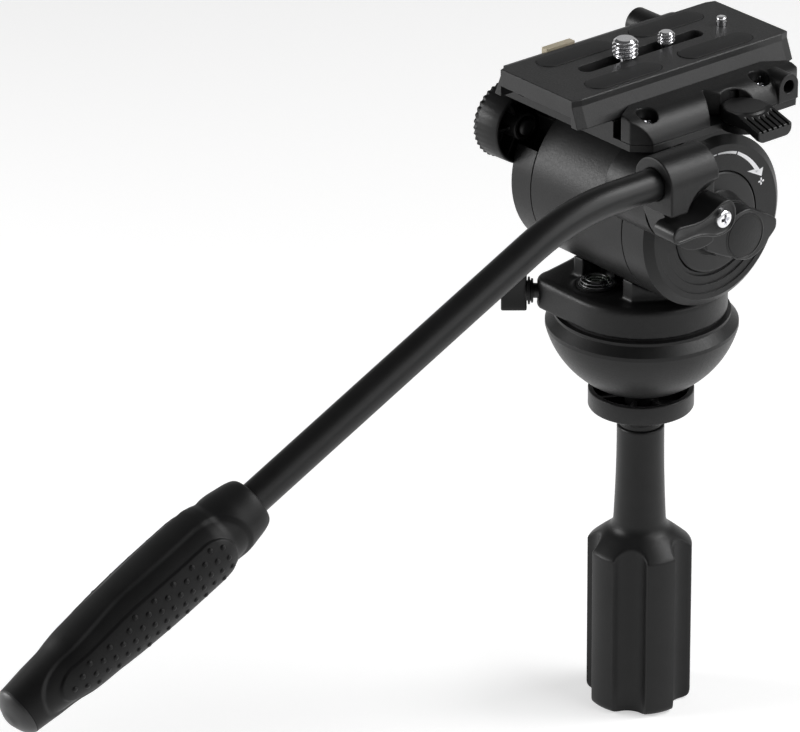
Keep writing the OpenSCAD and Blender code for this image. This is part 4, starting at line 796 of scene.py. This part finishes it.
def threaded(name, centre, foot, top, radius, pitch, top_r):
    """Screw thread with a chamfered end."""
    around, per_turn, depth = 64, 14, 0.58 * pitch
    rows = int((top - foot) / pitch * per_turn)
    rings = []
    for i in range(rows + 1):
        z = foot + (top - foot) * i / rows
        ring = []
        for k in range(around):
            tooth = abs(2 * ((z / pitch - k / around) % 1.0) - 1)
            r = radius - depth * min(max(1.35 * tooth - 0.15, 0.0), 1.0)
            r = min(r, top_r + max(top - z, 0.0) * 1.1)
            a = 2 * math.pi * k / around
            ring.append((centre[0] + r * math.cos(a), centre[1] + r * math.sin(a), z))
        rings.append(ring)
    return loft(name, rings)


def camera_screws():
    for node, body, radius, pitch, top_r in (("big_screw", "big_screw_body", 4.7625, 1.5875, 3.3),
                                             ("small_screw", "small_screw_body", 3.175, 1.27, 2.1)):
        low, high = ([c / MM for c in corner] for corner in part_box(node))
        y, foot, top = (low[1] + high[1]) / 2, low[2], high[2]
        neck_r, head_r, head_h = 3.0, 6.1, 3.0
        shaft_z = PLATE_TOP_Z + 0.6
        thread = threaded(node + "_thread", (0.0, y), shaft_z, top, radius, pitch, top_r)
        profile = [(foot, head_r - 0.4), (foot + 0.4, head_r), (foot + head_h - 0.4, head_r),
                   (foot + head_h, head_r - 0.4), (foot + head_h, neck_r - 0.3),
                   (shaft_z + 0.2, neck_r - 0.3)]
        head = lathe("head", "z", (0.0, y), profile, 64)
        settle(gather(thread, head), body, chrome, [node])


def video_pin():
    low, high = (c[2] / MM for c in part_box("video_pin"))
    pin_r, flange_r = 1.85, 3.0
    profile = [(low, flange_r - 0.1), (low + 1.0, flange_r), (low + 1.0, pin_r), (high - 2.0, pin_r),
               (high - 1.85, pin_r - 0.35), (high - 1.3, pin_r - 0.35), (high - 1.15, pin_r),
               (high - 0.45, pin_r), (high - 0.12, pin_r - 0.25), (high, pin_r - 0.65)]
    settle(lathe("video_pin_turned", "z", (0.0, PIN_Y), profile, 48), "pin", chrome, ["video_pin"])


def press_springs():
    """Springs under the video pin and the safety tab, as steel copies of their solids that no body carries.
    """
    for node, fixed, moving in (("pin_spring", "plate", "pin"), ("tab_spring", "tilt", "tab")):
        low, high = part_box(node)
        coil = settle(copy_of(node, node + "_coil"), None, steel, [node])
        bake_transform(coil)


def rail_screws():
    raised, depth, radius = 1.4, 3.4, 3.4
    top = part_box("rail_screws")[1][2] / MM + raised
    for k, y in enumerate((-RAIL_SCREW_Y, RAIL_SCREW_Y)):
        screw = cross_screw("rail_screw_%d" % k, "z", (RAIL_SCREW_X, y), top, depth, radius)
        settle(screw, "tilt", chrome, ["rail_screws"] if k == 0 else [])


# Left rosette cup with its bolt

def left_cup():
    far, mouth = CUP_X
    r, teeth, tooth = 14.9, 38, 0.32
    profile = [(far, 5.6, 0), (far, 13.4, 0.4), (far + 0.2, 14.4, 1), (far + 0.5, r, 1),
               (far + 1.2, r, 0.9), (far + 1.9, r - 0.1, 0.2), (far + 2.4, r - 0.15, 0),
               (mouth - 0.5, r - 0.5, 0), (mouth - 0.1, r - 0.8, 0), (mouth, r - 1.2, 0),
               (mouth - 0.1, r - 1.7, 0), (mouth - 0.6, r - 1.9, 0), (far + 4.2, r - 2.2, 0),
               (far + 3.7, r - 2.7, 0), (far + 3.7, 6.0, 0), (far + 4.2, 5.6, 0), (mouth - 0.6, 5.5, 0),
               (mouth - 0.2, 5.2, 0), (mouth - 0.1, 4.4, 0), (mouth - 0.6, 3.9, 0), (mouth - 3.0, 3.2, 0),
               (far + 1.8, 3.2, 0), (far + 1.8, 5.6, 0)]
    n = teeth * 8
    rings = []
    for x, radius, share in profile:
        ring = []
        for k in range(n):
            a = 2 * math.pi * k / n
            rr = radius + tooth * share * math.cos(teeth * a)
            ring.append((x, CUP_CENTRE[0] + rr * math.cos(a), CUP_CENTRE[1] + rr * math.sin(a)))
        rings.append(ring)
    cup = loft("rosette_cup", rings, True)
    ribs, thick, rib_in, rib_out = 6, 0.5, 5.0, 13.0
    for i in range(ribs):
        c, s = math.cos(2 * math.pi * i / ribs), math.sin(2 * math.pi * i / ribs)
        corners = [(rib_in, -thick), (rib_out, -thick), (rib_out, thick), (rib_in, thick)]
        outline = [(CUP_CENTRE[0] + c * u - s * v, CUP_CENTRE[1] + s * u + c * v) for u, v in corners]
        gather(cup, prism("rib", "x", outline, far + 3.5, mouth - 3.0))
    settle(cup, "tilt", coating, ["left_rosette"])
    low, high = (c[0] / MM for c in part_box("left_rosette_bolt"))
    bolt = lathe("rosette_bolt_turned", "x", CUP_CENTRE, [
        (low, 5.1), (low + 0.3, 5.4), (low + 1.4, 5.4), (low + 1.4, 3.0), (mouth - 0.4, 3.0), (mouth, 3.35),
        (high - 1.0, 3.45), (high - 0.5, 2.9), (high - 0.15, 1.8), (high, 0.01)], 48)
    settle(bolt, "tilt", satin, ["left_rosette_bolt"], 60)


# Tilt axle, whose head shows on the left cheek

def tilt_axle():
    """Blackened axle with a hexagon socket in its head."""
    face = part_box("tilt_axle")[0][0] / MM
    socket_r, deep = 5.2, 3.0
    axle = copy_of("tilt_axle", "tilt_axle_turned")
    cut(axle, prism("socket", "x", circle(socket_r, 6, 0.0, TILT_Z), face - 1.0, face + deep))
    settle(axle, "tilt", satin, ["tilt_axle"])


# Printed arrow and plus sign on the drag face

def printed_marks():
    low, high = CHEEK_FACE_X - 0.05, CHEEK_FACE_X + 0.1
    bend = [(25.0, 24.9), (30.6, 25.0), (43.7, 25.45), (53.5, 25.9), (62.0, 26.3), (70.0, 26.7),
            (100.0, 26.8)]
    spans = [(97.0, 90.5, 0.3, 0.5), (88.9, 69.0, 0.55, 1.1), (67.6, 36.0, 1.15, 1.75)]
    steps, mark = 24, None
    for start, end, w0, w1 in spans:
        outer, inner = [], []
        for k in range(steps + 1):
            degrees = start + (end - start) * k / steps
            a, r, w = math.radians(degrees), spline(bend, degrees), w0 + (w1 - w0) * k / steps
            outer.append(((r + w / 2) * math.cos(a), TILT_Z + (r + w / 2) * math.sin(a)))
            inner.append(((r - w / 2) * math.cos(a), TILT_Z + (r - w / 2) * math.sin(a)))
        bar = prism("drag_marks", "x", outer + inner[::-1], low, high)
        mark = gather(mark, bar) if mark else bar
    head = [(22.9, 60.2), (22.2, 56.8), (15.2, 60.5), (18.6, 60.4), (19.5, 59.4)]
    gather(mark, prism("head", "x", head, low, high))
    cy, cz, arm, half = 22.06, 54.79, 1.35, 0.34
    for u, v in ((arm, half), (half, arm)):
        outline = [(cy - u, cz - v), (cy + u, cz - v), (cy + u, cz + v), (cy - u, cz + v)]
        gather(mark, prism("plus", "x", outline, low, high))
    settle(mark, "tilt", print_white)


# Pan lock knob and the level

def along_lobe(u, v, w):
    """Point w out along the lobe, u across it and v up."""
    c, s = math.cos(LOBE_ANGLE), math.sin(LOBE_ANGLE)
    return (c * w - s * u, s * w + c * u, v)


def pan_lock():
    collar, grip_at, length, half_h = 40.6, 43.0, 9.7, 7.6
    around, end_power, side_power, waist, flare = 72, 0.55, 0.4, 1.9, 1.2
    outline = []
    for k in range(around):
        t = 2 * math.pi * k / around
        z = half_h * math.copysign(abs(math.sin(t)) ** end_power, math.sin(t))
        half_w = waist + flare * (z / half_h) ** 2
        outline.append((half_w * math.copysign(abs(math.cos(t)) ** side_power, math.cos(t)), LOCK_Z + z))
    knob = blade("pan_lock_grip", along_lobe, outline, grip_at, grip_at + length, 0.7)
    profile = [(collar, 4.3), (collar + 0.15, 4.6), (collar + 0.8, 4.6), (collar + 0.95, 3.9),
               (collar + 1.1, 3.9), (collar + 1.25, 5.2), (collar + 2.0, 5.2), (collar + 2.15, 3.8),
               (grip_at + 0.5, 3.8)]
    discs = lathe("collar", along_lobe, (0.0, LOCK_Z), profile, 64)
    gather(knob, discs)
    settle(knob, "pan_lock", moulded, ["pan_lock_knob"])


def level():
    low, high = ([c / MM for c in corner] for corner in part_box("level_vial"))
    centre = ((low[0] + high[0]) / 2, (low[1] + high[1]) / 2)
    foot, top = low[2], high[2]
    profile = [(foot, 5.9), (top - 1.9, 5.9), (top - 1.7, 5.7), (top - 1.7, 0.02)]
    fluid = lathe("level_fluid", "z", centre, profile, 64)
    settle(fluid, "pan", vial_fluid, ["level_vial"])
    profile = [(top - 1.6, 5.95), (top + 1.4, 5.95), (top + 1.9, 5.5), (top + 2.2, 4.0), (top + 2.3, 2.0),
               (top + 2.35, 0.02)]
    dome = lathe("level_dome", "z", centre, profile, 64)
    settle(dome, "pan", glass)
    rings = None
    for r in (2.0, 3.8):
        band = lathe("level_rings", "z", centre, [(top - 1.7, r), (top - 1.64, r), (top - 1.64, r + 0.25),
                                                  (top - 1.7, r + 0.25)], 48, True)
        rings = gather(rings, band) if rings else band
    settle(rings, "pan", print_white)
    rims = None
    for z, r in ((top + 2.15, 3.9), (top + 1.65, 5.6), (top + 0.5, 5.97), (top + 0.1, 6.6)):
        section = circle(0.14, 10)
        band = lathe("level_rims", "z", centre, [(z + v, r + u) for u, v in section], 64, True)
        rims = gather(rims, band) if rims else band
    settle(rims, "pan", steel)


# Camera, floor and lights

def camera():
    """Camera fitted to the photograph, whose image is 800 by 732 pixels."""
    azimuth, elevation, roll = math.radians(51.006), math.radians(25.212), -0.00794
    image_w, focal_px, place = 800, 5829.9, (1.4808, -1.31533, 0.90445)
    right = Vector((math.cos(azimuth), math.sin(azimuth), 0.0))
    flat = math.cos(elevation)
    back = Vector((math.sin(azimuth) * flat, -math.cos(azimuth) * flat, math.sin(elevation)))
    up = back.cross(right)
    c, s = math.cos(roll), math.sin(roll)
    cam = bpy.data.cameras.new("camera")
    cam.sensor_width = 36.0
    cam.lens = focal_px / image_w * cam.sensor_width
    cam.clip_end = 20.0
    obj = bpy.data.objects.new("camera", cam)
    turn = Matrix((c * right + s * up, c * up - s * right, back)).transposed()
    obj.matrix_world = Matrix.Translation(place) @ turn.to_4x4()
    scene.collection.objects.link(obj)
    scene.camera = obj


def floor():
    """Pale floor that sweeps up far out and keeps the shadow; camera, metal and glass see its glow alike."""
    glow = 0.5
    z = cad_box[0][2] - 0.0005
    flat_r, sweep_r, wall_top, around = 5.0, 1.0, 1.6, 96
    profile = arc(flat_r, sweep_r, sweep_r, -90, 0, 12) + [(flat_r + sweep_r, wall_top)]
    verts = [(u, v, z + h) for r, h in profile for u, v in circle(r, around)]
    faces = [tuple(range(around))]
    for i in range(len(profile) - 1):
        for k in range(around):
            m = (k + 1) % around
            faces.append((i * around + k, i * around + m, (i + 1) * around + m, (i + 1) * around + k))
    mesh = bpy.data.meshes.new("floor")
    mesh.from_pydata(verts, [], faces)
    obj = bpy.data.objects.new("floor", mesh)
    scene.collection.objects.link(obj)
    mat, nodes, links, bsdf = node_tree("floor_paper")
    bsdf.inputs["Base Color"].default_value = (0.75, 0.75, 0.75, 1.0)
    bsdf.inputs["Roughness"].default_value = 0.9
    bsdf.inputs["Specular IOR Level"].default_value = 0.1
    bsdf.inputs["Emission Color"].default_value = (1.0, 1.0, 1.0, 1.0)
    path = nodes.new("ShaderNodeLightPath")
    seen = path.outputs["Is Camera Ray"]
    for kind in ("Is Glossy Ray", "Is Transmission Ray"):
        either = nodes.new("ShaderNodeMath")
        either.operation = "MAXIMUM"
        links.new(seen, either.inputs[0])
        links.new(path.outputs[kind], either.inputs[1])
        seen = either.outputs[0]
    links.new(spread(nodes, links, seen, 0.0, glow, 0.0, 1.0), bsdf.inputs["Emission Strength"])
    obj.data.materials.append(mat)


def world():
    sky = bpy.data.worlds.new("studio")
    scene.world = sky
    sky.use_nodes = True
    back = sky.node_tree.nodes["Background"]
    back.inputs["Color"].default_value = (1.0, 1.0, 1.0, 1.0)
    back.inputs["Strength"].default_value = 0.08


def lamp(name, place, target, size, power):
    """Soft box at a place in metres, facing the target."""
    toward = (Vector(place) - Vector(target)).normalized()
    light = bpy.data.lights.new(name, "AREA")
    light.shape = "RECTANGLE"
    light.size, light.size_y = size
    light.energy = power
    obj = bpy.data.objects.new(name, light)
    obj.location = place
    obj.rotation_euler = toward.to_track_quat("Z", "Y").to_euler()
    scene.collection.objects.link(obj)


def bearing(azimuth, elevation, distance):
    """Place seen from the object's middle at a bearing in degrees."""
    a, e = math.radians(azimuth), math.radians(elevation)
    flat = distance * math.cos(e)
    x, y, z = STUDIO_MIDDLE
    return (x + flat * math.cos(a), y + flat * math.sin(a), z + distance * math.sin(e))


def lights():
    lamp("right_wall", bearing(33, 29, 1.2), STUDIO_MIDDLE, (1.25, 0.9), 9.0)
    lamp("key", bearing(60, 44, 1.2), STUDIO_MIDDLE, (0.5, 0.5), 6.0)
    lamp("left", bearing(-131, 14, 1.0), STUDIO_MIDDLE, (0.6, 0.42), 6.5)
    lamp("back", bearing(138, 27, 1.5), STUDIO_MIDDLE, (1.1, 0.7), 0.8)


dress_solids()
castings()
round_dial()
clamp_dish()
tie_handle()
bent_bar()
grip()
grip_studs()
grip_cap()
lock_lever()
drag_wing()
release_lever()
camera_plate()
pads()
camera_screws()
video_pin()
press_springs()
rail_screws()
left_cup()
tilt_axle()
printed_marks()
pan_lock()
level()
camera()
floor()
world()
lights()
scene.view_settings.view_transform = "Standard"
